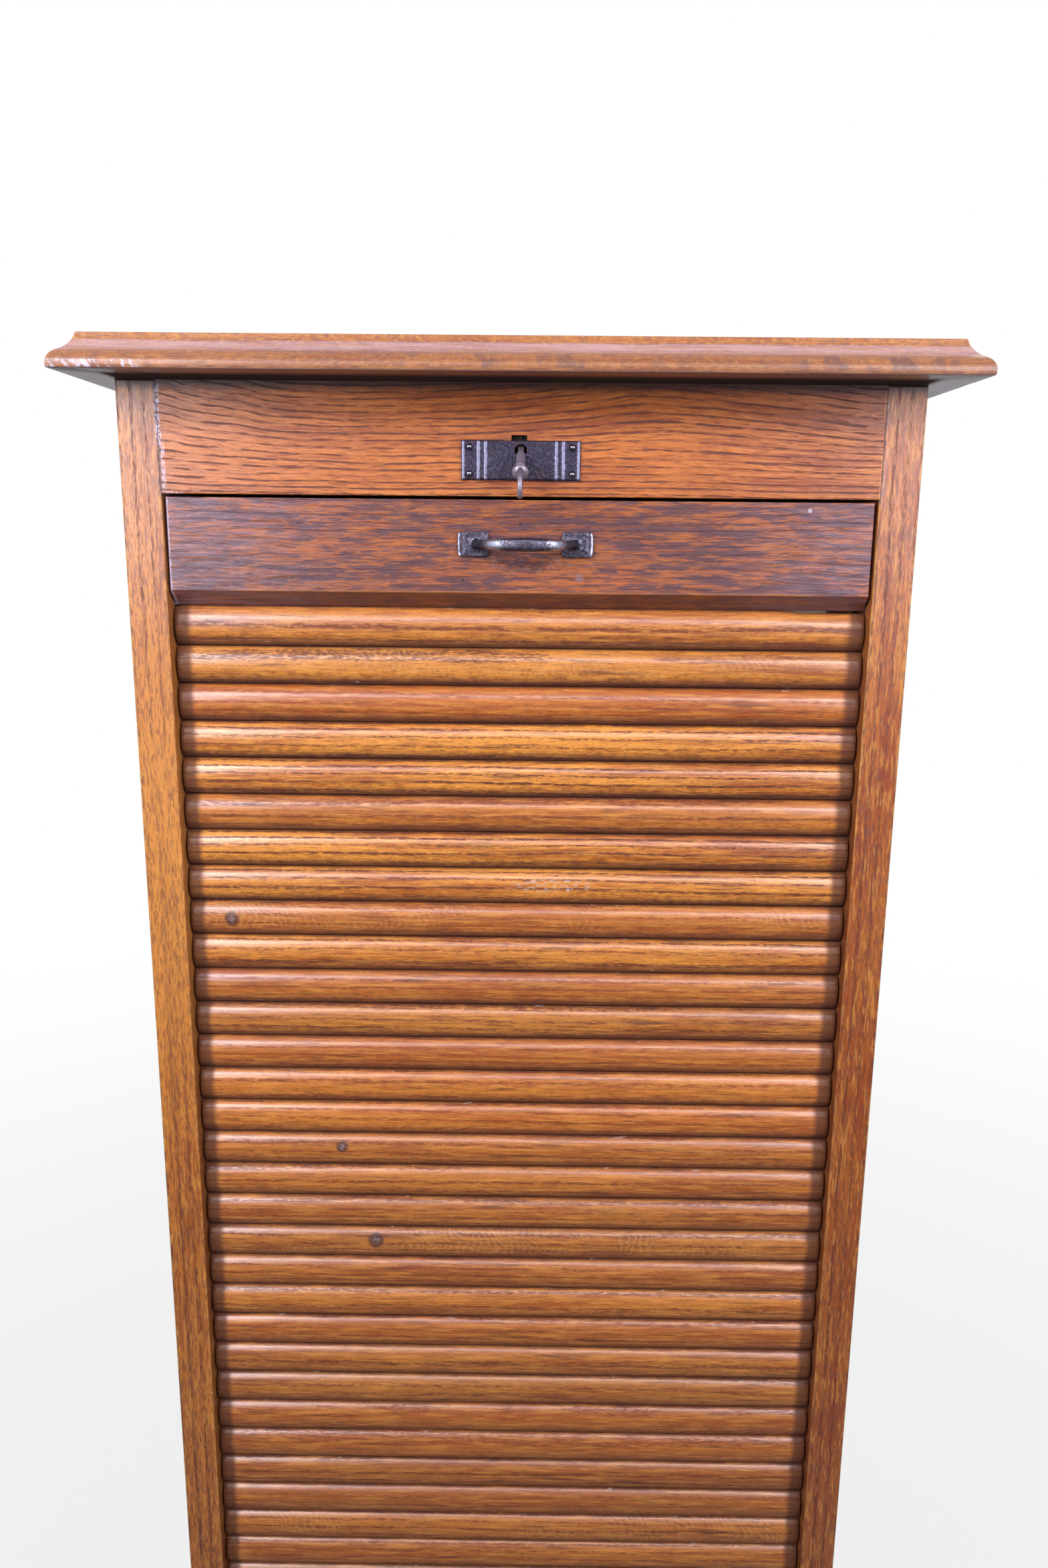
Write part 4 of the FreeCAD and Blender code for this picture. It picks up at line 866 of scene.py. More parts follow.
def build_key_plate(look):
    """Key plate: two side fields are plain grids and the middle field is a fan of lines from the hole's circle to its
    own outline; all three are lifted by plate_height and given a flat back."""
    rows, columns, seam = 56, 64, 9.0
    z_steps = np.linspace(-PLATE_BELOW, PLATE_ABOVE, rows)
    x_steps = np.linspace(seam, PLATE_HALF, columns)
    right, left = (np.stack(np.meshgrid(side * x_steps, z_steps, indexing="ij"), -1).reshape(-1, 2)
                   for side in (1, -1))
    across = np.linspace(-seam, seam, 47)
    outline = np.concatenate([
        np.stack(np.broadcast_arrays(x, z), -1) for x, z in (
            (seam, z_steps[:-1]), (across[:0:-1], PLATE_ABOVE), (-seam, z_steps[:0:-1]), (across[:-1], -PLATE_BELOW))
    ])
    turn = np.arctan2(outline[:, 1], outline[:, 0])
    circle = HOLE_RADIUS * np.stack([np.cos(turn), np.sin(turn)], -1)
    share = (np.linspace(0, 1, 30) ** 1.25)[:, None, None]
    fan = (circle * (1 - share) + outline * share).reshape(-1, 2)
    flat = np.concatenate([right, left, fan])
    field, grid = rows * columns, grid_faces(columns, rows)
    faces = np.concatenate([grid[:, ::-1], grid + field, grid_faces(30, len(outline), True, 2 * field)])
    height, ribs, rim, edge = plate_height(flat[:, 0], flat[:, 1], look)
    ragged = ripple(flat[:, 0], flat[:, 1], 3.0, 41) * 0.1 * (1 - ease(0.0, 0.6, edge))
    x = flat[:, 0] * (1 - np.abs(ragged) / PLATE_HALF)
    z = flat[:, 1] - ragged * np.sign(flat[:, 1]) * 0.6
    points = np.stack([PLATE_CENTRE.x + x * MM, FRONT - height * MM, PLATE_CENTRE.z + z * MM], -1)
    back = points.copy()
    back[:, 1] = FRONT
    # the fields meet point on point, so they are joined before the sheet gets its thickness
    rounded = np.round(points * 1e6).astype(np.int64)
    _, first, same = np.unique(rounded, axis=0, return_index=True, return_inverse=True)
    wear = np.clip(ribs * 0.98 + 0.4 * rim * (flat[:, 0] > 0.5) + 0.2 * (1 - ease(0.0, 0.5, edge)), 0, 1)[first]
    points, faces = shell(points[first], same.reshape(-1)[faces], back[first])
    material = metal("hammered_iron", look.plate_dark, look.plate_bright, (0.085, 0.045, 0.05), wear="wear",
                     grain=760.0, patches=0.45, depth=0.00026, roughness=0.4)
    make_piece("hammered_key_plate", points, faces, "cabinet", ["key_plate"], material, smooth=60.0,
               marks={"wear": np.concatenate([wear, wear])})


PIN_PLACES = tuple((side * 29.5, lift) for side in (-1, 1) for lift in (1.9, -12.9))


def build_pins():
    """Dome-headed pins: a quarter ellipse turned round the pin's axis, with a short foot under the plate's face."""
    quarter = np.linspace(0.04, np.pi / 2, 9)
    reach = np.concatenate([PIN_HEIGHT * np.cos(quarter), [-0.3]]) * MM
    radius = np.concatenate([PIN_RADIUS * np.sin(quarter), [PIN_RADIUS]]) * MM
    out, up, across = (np.array(v, float) for v in ((0, -1, 0), (0, 0, 1), (1, 0, 0)))
    feet = np.array([(PLATE_CENTRE.x + x * MM, FRONT - 1.45 * MM, PLATE_CENTRE.z + z * MM) for x, z in PIN_PLACES])
    points, faces = joined([turned(reach, radius, foot, out, up, across, 24) for foot in feet])
    material = metal("pin_steel", (0.15, 0.14, 0.17), (0.46, 0.44, 0.5), (0.12, 0.09, 0.1), grain=1800.0,
                     patches=0.3, depth=0.00002, level=0.5, roughness=0.08)
    make_piece("dome_pins", points, faces, "cabinet", ["key_plate_pins"], material)


KEY_DROOP = math.radians(35.0)
SQUARE_HALF, STEM_RADIUS = 1.6, 2.62
BOW_MIDDLE, BOW_LONG, BOW_WIDE, BOW_SECTION = 29.8, 8.4, 6.4, 1.5  # its place along the key, and its half sizes


def build_key(look):
    """Key hanging in the hole: a square end, a turned stem with a beaded collar, and a bow that is a round section
    carried round an oval, all laid along an axis that droops from the hole's lower lip."""
    lip_z = PLATE_CENTRE.z - math.sqrt(HOLE_RADIUS ** 2 - SQUARE_HALF ** 2) * MM
    lip = np.array([PLATE_CENTRE.x, FRONT - 1.5 * MM, lip_z])
    out = np.array([0.0, -math.cos(KEY_DROOP), -math.sin(KEY_DROOP)])
    up = np.array([0.0, -math.sin(KEY_DROOP), math.cos(KEY_DROOP)])
    across = np.array([1.0, 0.0, 0.0])
    axis = lip + up * 1.75 * MM
    square_reach = np.array([-5.5, -5.2, 1.3])[:, None] * MM
    half = np.array([1.35, SQUARE_HALF, SQUARE_HALF]) * MM
    square = sweep(axis + out * square_reach, np.tile(up, (3, 1)), np.tile(across, (3, 1)), half, half, power=9.0)
    bead = np.linspace(0.3, np.pi - 0.34, 14)
    reach = np.concatenate([[1.0, 1.25, 1.8, 5.0, 10.0, 13.4, 14.2, 14.6, 15.0, 15.4], 18.6 - 2.9 * np.cos(bead),
                            [21.6, 22.2]])
    radius = np.concatenate([[2.2, 2.6, 2.7, STEM_RADIUS, STEM_RADIUS, 2.66, 2.8, 3.25, 3.3, 2.7],
                             4.7 * np.sin(bead) ** 0.85, [1.9, 1.6]])
    stem = turned(reach * MM, radius * MM, axis, out, up, across)
    turn = np.linspace(0, 2 * np.pi, 56, endpoint=False)
    round_out, round_up = out * np.cos(turn)[:, None], up * np.sin(turn)[:, None]
    path = axis + (out * BOW_MIDDLE + round_out * BOW_LONG + round_up * BOW_WIDE) * MM
    normal = round_out * BOW_WIDE + round_up * BOW_LONG
    normal /= np.linalg.norm(normal, axis=1)[:, None]
    neck = 1 + 0.25 * bell(turn % (2 * np.pi) - np.pi, 0.5)
    bow = sweep(path, normal, np.tile(across, (56, 1)), BOW_SECTION * neck * MM, 1.42 * np.ones(56) * MM,
                power=2.5, count=20)
    points, faces = joined((square, stem, bow), rings=(2,))
    rub = (np.full(3, 0.2), 0.62 + 0.1 * ease(3.0, 4.4, radius), 0.55 + 0.2 * np.cos(turn * 2))
    wear = np.concatenate([np.repeat(row, form.shape[1]) for row, form in zip(rub, (square, stem, bow))])
    material = metal("key_steel", (0.21, 0.18, 0.23), look.steel, (0.2, 0.14, 0.15), wear="wear",
                     grain=1100.0, patches=0.35, depth=0.0001, roughness=0.36, metallic=0.6)
    make_piece("hanging_key", points, faces, "key", ["key"], material, smooth=40.0,
               marks={"wear": wear})


HANDLE_X, HANDLE_Z = 3.6, 1110.5
HANDLE_HALF = 39.5
BASE_HALF_X, BASE_HALF_Z = 9.2, 7.35
BAR_CHORD, BAR_RISE = 28.1, 20.5
CHISEL_LINES = {-1: ((-2.5, -1.5, 0.2, 3.0), (1.8, -2.2, 4.6, 1.4)), 1: ((0.8, 0.6, 1.8, 2.6), (2.6, -2.6, 5.4, 0.8))}


def ridge(x, z, x0, z0, x1, z1, width):
    """A ridge along a line between two places: a bell curve of the distance from it."""
    dx, dz = x1 - x0, z1 - z0
    t = np.clip(((x - x0) * dx + (z - z0) * dz) / (dx * dx + dz * dz), 0, 1)
    return bell(np.hypot(x - x0 - t * dx, z - z0 - t * dz), width)


def handle_base(side):
    """One base plate of the handle: a superellipse of points, lifted to a dished face with a rolled outer edge, a
    swelling where the bar starts and two chisel ridges, then dropped to the wood round its rim."""
    a, b = section(72, 8.0)
    share = np.concatenate([[0.02], np.linspace(0.1, 0.93, 15), [0.965, 0.99, 1.0, 1.0]])[:, None]
    x, z = share * a * BASE_HALF_X, share * b * BASE_HALF_Z
    outer = x * side
    x = x + side * 0.55 * ease(3.0, 9.2, outer) * (0.35 - (z / BASE_HALF_Z) ** 2)
    lift = 1.95 + 0.35 * ease(5.0, 7.4, outer) + 0.55 * bell(outer - 8.1, 0.9)
    lift = lift - 0.5 * bell(outer - 6.4, 0.9) + 0.95 * bell(outer + 4.0, 4.2) * bell(z, 3.2)
    cuts = sum(ridge(outer, z, *line, 0.55) for line in CHISEL_LINES[side])
    lift = lift + 0.42 * cuts + 0.2 * ripple(x, z, 3.4, 60 + side) + 0.06 * ripple(x, z, 1.3, 64 + side)
    drop = np.concatenate([np.zeros(16), [0.1, 0.4, 1.0, 9.0]])[:, None]
    lift = np.maximum(np.minimum(lift, 2.95) - drop, 0.0)
    points = np.stack([(HANDLE_X + side * (HANDLE_HALF - BASE_HALF_X) + x) * MM,
                       FRONT + (0.8 - lift) * MM, (HANDLE_Z + z) * MM], -1)
    wear = 0.76 * bell(outer - 8.3, 0.6) + 0.4 * cuts + 0.18 + 0.22 * ripple(x, z, 4.0, 67 + side)
    # painted shade: less wear, so darker, in the groove inside the rolled edge and along the upper and lower edges
    wear = np.clip(wear - 0.3 * bell(outer - 6.2, 1.0) - 0.3 * ease(5.4, 7.0, np.abs(z)) * (outer < 7), 0, 1)
    return points, np.where(drop >= 1.0, 0.25, wear)


def build_handle(look):
    """Bow handle: a rounded section carried along an arc, thick in the middle and flared into its base plates."""
    circle = (BAR_CHORD ** 2 + BAR_RISE ** 2) / (2 * BAR_RISE)
    limit = math.asin(BAR_CHORD / circle)
    turn = np.linspace(-limit * 1.03, limit * 1.03, 61)
    x = HANDLE_X + circle * np.sin(turn)
    y = 0.8 - (circle * np.cos(turn) - (circle - BAR_RISE))
    share = np.abs(turn) / limit
    flare = ease(0.86, 1.04, share)
    waver = 1 + 0.03 * ripple(turn * 20, 0 * turn, 8.0, 71)
    half_out = (2.5 + 0.5 * share ** 3 + 1.4 * flare) * waver
    half_side = (3.8 - 1.75 * share ** 1.5 + 1.9 * flare) * waver
    centres = np.stack([x * MM, FRONT + y * MM, np.full(61, HANDLE_Z) * MM], -1)
    out = np.stack([np.sin(turn), -np.cos(turn), 0 * turn], -1)
    side = np.tile([0.0, 0.0, 1.0], (61, 1))
    bar = sweep(centres, out, side, half_out * MM, half_side * MM, power=2.6, count=28)
    a, _ = section(28, 2.6)
    face = ease(-0.2, 0.7, a)[None, :]
    # hand polish and painted highlights: the bar's front is brighter at its two bends, where the side lamps are
    # reflected, and a little in the middle
    polished = bell(share - 0.5, 0.17)[:, None]
    bar_wear = 0.16 + 0.8 * polished * face + 0.1 * face * bell(share, 0.1)[:, None]
    forms, wear = zip((bar, bar_wear), handle_base(-1), handle_base(1))
    points, faces = joined(forms)
    material = metal("handle_bronze", look.handle_dark, look.handle_bright, (0.13, 0.08, 0.1), wear="wear",
                     grain=900.0, patches=0.5, depth=0.00009, roughness=0.32)
    make_piece("forged_handle", points, faces, "shutter", ["handle"], material, smooth=45.0,
               marks={"wear": np.concatenate([form.reshape(-1) for form in wear])})


# ---------------------------------------------------------------- materials of the carried-over woodwork
RAIL_HALF = 0.2075
RAIL_CREST = ((-0.16, 0.62), (-0.115, 0.36), (-0.04, 0.42), (0.03, 0.7), (0.078, 0.86), (0.13, 0.72))


def rail_bend(w, place):
    """Sweeps the lock rail's rings down from its left end, up to a crest right of the middle and down again, most
    near its upper edge."""
    x, across, depth = w.parts(place)
    node = w.add("FloatCurve", {"Value": w.ramp(x, -RAIL_HALF, RAIL_HALF)})
    curve = node.mapping.curves[0]
    for spot, value in RAIL_CREST:
        curve.points.new(float(ease(-RAIL_HALF, RAIL_HALF, spot)), value)  # the ramp is the same smooth step
    curve.points[0].location = (0.0, 1.0)
    curve.points[-1].location = (1.0, 0.4)
    node.mapping.update()
    share = w.ramp(across, 1.132, 1.212, 0.05, 1.0)
    return w.join(x, across - Wire(w, node.outputs[0]) * share * 0.022, depth)


def joint_marks(line_x, share, dashes=0.0):
    """Marks of a joint between a stile and a rail: dark dirt along it, white chips, painted shade just under the top
    board and, on a stile, short upright dashes of pores and golden glints between them."""
    def add(w, place, colour, gloss):
        x, _, z = w.parts(place)
        if dashes:
            pores = w.ramp(w.noise(place, (950, 950, 150), 2, 0.6), 0.49, 0.58)
            colour = w.mix(pores * dashes, colour, (0.165, 0.058, 0.04))
            glints = w.ramp(w.noise(place, (650, 650, 80), 3, 0.6), 0.53, 0.64)
            colour = w.mix(glints * dashes, colour, (0.7, 0.3, 0.06))
        wander = (w.noise(place, 130, 3) - 0.5) * 0.0022
        beside = abs(x - line_x) + wander
        up = w.ramp(z, JOINT_Z - 0.004, JOINT_Z + 0.002)
        dirt = w.ramp(beside, 0.0014, 0.0004) * up
        colour = w.mix(dirt * 0.75, colour, (0.07, 0.035, 0.05))
        chip = w.ramp(w.noise(place, (700, 700, 480), 3, 0.65), 0.44, 0.58)
        chip = chip * w.ramp(w.noise(place, 60, 1), 0.4, 0.56)
        chip = chip * w.ramp(beside, 0.0021, 0.001) * up
        colour = w.mix(chip * share, colour, (0.62, 0.56, 0.68))
        peeled = w.ramp(abs(x - (line_x + 0.002)), 0.0015, 0.0007)
        peeled = peeled * w.ramp(abs(z - 1.153), 0.0155, 0.011)
        peeled = peeled * w.ramp(w.noise(place, (800, 800, 340), 3, 0.6), 0.42, 0.56)
        foot = w.ramp(z, 1.139, 1.138) * (z > 1.137)
        foot = foot * (w.ramp(x, -0.192, -0.198) * (x > -RAIL_HALF))
        foot = foot * w.ramp(w.noise(place, (420, 200, 420), 2), 0.46, 0.54)
        dot = w.spot(place, line_x + 0.0006, 1.1885, 0.0013, 0.0016, 0.4)["Mask"]
        # painted shade: the wood just under the top board is darkened as if in the board's shadow
        shade_under_top = w.ramp(wander * 1.5 + z, 1.1925, 1.199, 0.0, 0.85)
        colour = w.mix(shade_under_top, colour, (0.02, 0.013, 0.017))
        bare = w.most(peeled * 0.65, foot, dot)
        colour = w.mix(bare * share, colour, (0.66, 0.62, 0.78))
        return colour, gloss
    return add


def stile_marks(sign):
    """Marks of a front stile: the left one has a painted pool of light halfway up, the right one has painted shade
    that darkens downwards.
    """
    joint = joint_marks(sign * JOINT_X, 0.85 if sign < 0 else 0.15, 0.55)

    def add(w, place, colour, gloss):
        z = w.parts(place)[2]
        if sign < 0:
            # painted light: a golden brightening halfway up the left stile, standing in for the light that falls
            # there
            share = w.ramp(z, 0.7, 0.86) * w.ramp(z, 1.08, 0.96, 0.0, 0.48)
            colour = w.mix(share, colour, (0.88, 0.37, 0.075))
        else:
            # painted shade: darker towards the bottom, standing in for the light falling off downwards
            colour = w.mix(w.ramp(z, 1.06, 0.88, 0.0, 0.3), colour, (0.22, 0.045, 0.012))
        return joint(w, place, colour, gloss)
    return add


LEAD_SPOTS = (
    (0.0004, 1.1224, 0.0009, (0.015, 0.008, 0.008), 1.0), (-0.0328, 1.09, 0.0009, (0.015, 0.008, 0.008), 1.0),
    (0.0353, 1.0917, 0.0028, (0.26, 0.22, 0.27), 0.4), (0.1677, 1.1311, 0.0015, (0.56, 0.48, 0.54), 0.75),
)


def lead_marks(w, place, colour, gloss):
    """The lead rail's blotches, darker chamfer, painted lilac haze towards both ends, a lilac left end, nail holes,
    scuffs below the handle and bruised edge.
    """
    x, _, z = w.parts(place)
    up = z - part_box("lead_rail")[0].z
    blotch = w.ramp(abs(x), 0.07, 0.2) * 0.035 + w.noise(place, (46, 120, 250), 6, 0.68)
    oval = w.spot(place, 0.104, 1.1, 0.064, 0.042, 0.25)["Mask"]
    blotch = w.ramp(oval * 0.03 + blotch, 0.475, 0.545)
    colour = w.mix(blotch * 0.84, colour, (0.088, 0.04, 0.052))
    glow = w.ramp(w.noise(place, (36, 120, 290), 5, 0.66), 0.5, 0.58)
    colour = w.mix(glow * 0.62, colour, (0.47, 0.138, 0.026))
    streak = w.ramp(w.noise(place, (80, 600, 820), 3, 0.62), 0.49, 0.58)
    colour = w.mix(streak * 0.6, colour, (0.11, 0.045, 0.052))
    chamfer = w.ramp(up, 0.0098, 0.0084)
    colour = w.mix(chamfer * 0.55, colour, (0.13, 0.036, 0.018))
    line = w.clamp(1.0 - abs(up - 0.0094) * 1000.0)
    rubbed = w.ramp(w.noise(place, (22, 22, 22), 3), 0.34, 0.56)
    colour = w.mix(line * (rubbed * 0.65), colour, (0.5, 0.19, 0.05))
    # painted haze: patchy lilac brightening towards both ends of the rail, standing in for reflected light
    painted_haze = w.ramp(abs(x - 0.01), 0.09, 0.2) * w.ramp(w.noise(place, (40, 200, 420), 4, 0.65), 0.34, 0.66)
    colour = w.mix(painted_haze * 0.22, colour, (0.42, 0.33, 0.46))
    wander = (w.noise(place, 260, 3) - 0.5) * 0.003
    left = w.ramp(x + wander, -0.2036, -0.2043)
    colour = w.mix(left * 0.72, colour, (0.56, 0.5, 0.62))
    below = w.spot(place, 0.008, 1.099, 0.032, 0.0075, 0.5)["Mask"]
    scuff = w.ramp(w.noise(place, (300, 500, 1100), 3, 0.6), 0.54, 0.64)
    colour = w.mix(below * scuff * 0.22, colour, (0.58, 0.46, 0.46))
    for spot_x, spot_z, size, tint, share in LEAD_SPOTS:
        mask = w.spot(place, spot_x, spot_z, size, size, 0.35)["Mask"]
        colour = w.mix(mask * share, colour, tint)
    return colour, gloss


TRAY_INSIDE, TRAY_FACE = 0.1944, 0.0461  # half the width between a tray's sides, and its front's back face
TRAY_FOOT, TRAY_STEP = 0.136, 0.1249  # lowest tray's height, and from one tray to the next


def tray_wood(look):
    """Waxed oak of the trays: the grain runs across in fronts and backs, and front to back in the sides."""
    material, w, shader = new_material("tray_oak", look.tray_pale)
    place = w.place()
    x, y, z = w.parts(place)
    behind = (abs(x) > TRAY_INSIDE) * (y > FRONT + TRAY_FACE)
    vector = w.wire(1, "Mix", {0: behind, 4: w.join(x, z, y), 5: w.join(y, z, x)}, data_type="VECTOR")
    level = w.math("FLOOR", (z - TRAY_FOOT) / TRAY_STEP)
    grain = oak(w, vector, level * 2.3 + behind, 0.005, 0.006, (level * 0.11, -0.11), 80.0, look.tray_pale,
                look.tray_deep, (0.2, 0.11, 0.055), 0.8)
    dust = w.ramp(w.noise(place, 30, 4, 0.6), 0.45, 0.7, 0.0, 0.25)
    w.fill(shader, {"Base Color": w.mix(dust, grain["Color"], (0.48, 0.4, 0.31)),
                    "Roughness": grain["Gloss"] + 0.5, "Coat Weight": 0.08, "Coat Roughness": 0.35})
    bump(w, shader, grain["Height"], 0.0004, 0.5)
    return material


def dress_woodwork(look):
    """Materials of every wooden node that the frame carries over."""
    pale, deep, pore, worn = look.pale, look.deep, look.pore, look.worn
    stile_pale, stile_deep = shaded(pale, 1.03, 1.14, 1.1), shaded(deep, 1.06, 1.14, 1.0)
    for side, sign in (("left", -1), ("right", 1)):
        redder = 1.0 if sign < 0 else 0.8
        dress([side + "_front_stile"], wood(
            side + "_stile_oak", "Z", 11.0 + sign, shaded(stile_pale, redder ** 0.5, redder, redder),
            shaded(stile_deep, 1, redder, 1), pore, spacing=0.0021, waviness=0.0015, pith=(sign * 0.31, 0.15),
            pores=0.75, dash=170.0, coat=0.85, board=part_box(side + "_front_stile"), worn=(0.78, 0.37, 0.085),
            wear_width=0.0013, extra=stile_marks(sign),
        ))
        dress([side + "_back_stile"], wood(
            side + "_back_stile_oak", "Z", 17.0 + sign, pale, deep, pore, spacing=0.0034, waviness=0.003,
            pith=(sign * 0.1, 0.3), board=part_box(side + "_back_stile"), worn=worn,
        ))
        dress([side + "_side_panels"], wood(
            side + "_panel_oak", "Z", 14.0 + sign, shaded(pale, 1.0, 1.04, 1.1), shaded(deep, 1.05, 1.1, 1.1), pore,
            spacing=0.0036, waviness=0.0045, pith=(sign * 0.32, 0.02 * sign), pores=0.7, dash=110.0))
    dress(["lock_rail"], wood(
        "lock_rail_oak", "X", 1.6, shaded(pale, 0.98, 0.95, 0.93), shaded(deep, 0.95, 0.9, 1.0), pore,
        spacing=0.003, waviness=0.0026, pith=(1.3, FRONT + 0.06), pores=1.0, dash=70.0,
        board=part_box("lock_rail"), worn=shaded(worn, 0.95, 0.8, 0.7), wear_width=0.0006, bend=rail_bend,
        extra=joint_marks(-JOINT_X, 0.8),
    ))
    dress(["lead_rail"], wood(
        "lead_rail_oak", "X", 6.3, look.lead_pale, look.lead_deep, shaded(pore, 0.8, 0.8, 1.0),
        spacing=0.004, waviness=0.006, pith=(1.02, FRONT + 0.06), pores=0.8, roughness=0.33, coat=0.35,
        board=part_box("lead_rail"), worn=(0.5, 0.22, 0.09), wear_width=0.0006, extra=lead_marks,
    ))
    dress(["left_side_rails", "right_side_rails"], wood(
        "side_rail_oak", "Y", 9.0, pale, deep, pore, spacing=0.0042, waviness=0.005, pith=(0.3, 0.06)))
    for node, name, axis, seed, pith, width in (
        ("plinth_front", "plinth_front_oak", "X", 23.0, (0.16, FRONT + 0.05), 0.0016),
        ("plinth_sides", "plinth_side_oak", "Y", 24.0, (0.16, 0.4), 0.0014),
    ):
        dress([node], wood(name, axis, seed, shaded(pale, 0.9, 0.85, 0.8), shaded(deep, 0.9, 0.85, 0.8), pore,
                           spacing=0.0047, waviness=0.006, pith=pith, board=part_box(node), worn=worn,
                           wear_width=width))
    pine = dict(pale=look.pine_pale, deep=look.pine_deep, pore=(0.34, 0.17, 0.06), pores=0.35,
                roughness=0.62, coat=0.0)
    for nodes, name, axis, seed, spacing, waviness, pith in (
        (["bottom_board", "back_top_rail", "shutter_stops"], "across", "X", 31.0, 0.006, 0.008, (0.02, 0.1)),
        (["bottom_cleats", "top_cleats"], "lengthwise", "Y", 32.0, 0.005, 0.006, (0.02, 0.15)),
        (["inner_back_cleats"], "upright", "Z", 33.0, 0.005, 0.006, (0.1, 0.35)),
    ):
        dress(nodes, wood("softwood_" + name, axis, seed, spacing=spacing, waviness=waviness, pith=pith, **pine))
    dress(["back_panel"], wood(
        "back_panel_wood", "Z", 41.0, shaded(look.pine_deep, 1.05, 0.92, 0.9), shaded(look.pine_deep, 0.62, 0.5, 0.5),
        (0.12, 0.055, 0.03), spacing=0.011, waviness=0.02, pith=(0.05, 0.235), pores=0.45, roughness=0.55, coat=0.05))
    dress(["inner_back"], wood(
        "inner_back_wood", "Z", 42.0, look.pine_pale, look.pine_deep, (0.25, 0.12, 0.05), spacing=0.01,
        waviness=0.02, pith=(0.05, 0.19), pores=0.4, roughness=0.6, coat=0.0))
    dress(["left_tray_runners", "right_tray_runners"], wood(
        "runner_oak", "Y", 51.0, look.tray_pale, look.tray_deep, (0.2, 0.1, 0.05), spacing=0.004, waviness=0.003,
        pith=(0.7, 0.15), roughness=0.5, coat=0.05))
    dress([n for n in frame["nodes"] if n.startswith("tray_")], tray_wood(look))


def dress_ironwork(look):
    """Materials of the lock, the keeper and the screws."""
    # near black: old dark iron, and painted shade where the lock case shows through the slot in the wood
    steel = metal("lock_steel", (0.03, 0.027, 0.026), (0.22, 0.2, 0.19), (0.06, 0.032, 0.022), grain=700.0,
                  patches=0.7, level=0.2)
    dress(["lock_case", "lock_cover"], steel)
    brass = metal("lock_brass", shaded(look.brass, 0.5, 0.45, 0.4), look.brass, (0.2, 0.13, 0.05),
                  grain=600.0, patches=0.5, level=0.6)
    dress(["swing_bolt", "keeper_plate"], brass)
    dress(["lock_spindle"], metal("spindle_brass", (0.02, 0.014, 0.01), (0.16, 0.1, 0.045), (0.015, 0.01, 0.01),
                                  grain=1200.0, patches=0.9, level=0.15))
    screws = metal("screw_steel", (0.15, 0.14, 0.14), (0.46, 0.44, 0.42), (0.18, 0.09, 0.05), grain=1500.0,
                   patches=0.8, level=0.5)
    dress([n for n in frame["nodes"] if n.endswith("_screws")], screws)


# ---------------------------------------------------------------- stage
FLOOR_HALF, FLOOR_DROP = 9.0, 0.0006


def floor_material(look):
    """The floor's colour, which further out turns into the white of the background."""
    material, w, shader = new_material("studio_floor", look.floor)
    w.fill(shader, {"Base Color": look.floor, "Roughness": 0.8})
    across, ahead, _ = w.parts(w.place())
    radius = w.vector("LENGTH", w.join(across, ahead, 0.0))
    rays = w.wires("LightPath")
    mirrored = w.most(rays["Is Glossy Ray"], rays["Is Transmission Ray"])
    near = w.ramp(radius, 0.4, 2.4, 0.83, 1.0) * rays["Is Camera Ray"]
    far = w.ramp(radius, 1.5, 5.0, 0.0, 0.45) * mirrored
    white = w.wire(0, "Emission", {"Color": (1.0, 1.0, 1.0), "Strength": 1.0})
    blend = w.wire(0, "MixShader", {0: w.most(near, far), 1: Wire(w, shader.outputs[0]), 2: white})
    w.fill(next(n for n in w.tree.nodes if n.type == "OUTPUT_MATERIAL"), {0: blend})
    return material


def studio_world(look):
    """White to the camera, faint light from all around, and a bright band for reflections above and behind."""
    world = bpy.data.worlds.new("studio_light")
    world.use_nodes = True
    world.node_tree.nodes.clear()
    w = Wiring(world.node_tree)
    rays = w.wires("LightPath")
    _, ahead, up = w.parts(w.wire("Generated", "TexCoord"))
    band = w.most(w.ramp(up, 0.12, 0.6, 0.1, 0.62), w.ramp(ahead, -0.1, 0.3))
    mirrored = w.most(rays["Is Glossy Ray"], rays["Is Transmission Ray"])
    w.add("OutputWorld", {0: w.wire(0, "Background", {
        "Color": w.mix(rays["Is Camera Ray"], (0.92, 0.9, 1.0), (1.0, 1.0, 1.0)),
        "Strength": w.most(rays["Is Camera Ray"], mirrored * band, look.fill),
    })})
    return world


def hang_softbox(name, place, aim, size, power, colour):
    """A rectangular lamp at a place, turned to what it lights."""
    data = bpy.data.lights.new(name, "AREA")
    data.shape = "RECTANGLE"
    data.size, data.size_y = size
    data.energy, data.color = power, colour
    lamp = stand(name, data)
    lamp.location = place
    lamp.rotation_euler = (Vector(aim) - Vector(place)).to_track_quat("-Z", "Y").to_euler()


SOFTBOX_COLOUR = (1.0, 0.98, 1.08)
SOFTBOXES = (
    ("softbox_left", (-0.76, -1.02, 1.47), (0.0, FRONT, 1.45), (0.75, 0.88), 1.18, SOFTBOX_COLOUR),
    ("softbox_right", (0.8, -1.02, 1.47), (0.0, FRONT, 1.5), (0.75, 0.88), 0.94, SOFTBOX_COLOUR),
    ("softbox_top", (0.0, -1.15, 1.66), (0.0, FRONT, 1.15), (1.6, 0.26), 0.4, SOFTBOX_COLOUR),
    ("softbox_back", (0.35, 1.75, 2.15), (0.0, 0.2, 0.7), (1.6, 1.0), 2.6, (1.0, 1.0, 1.0)),
)


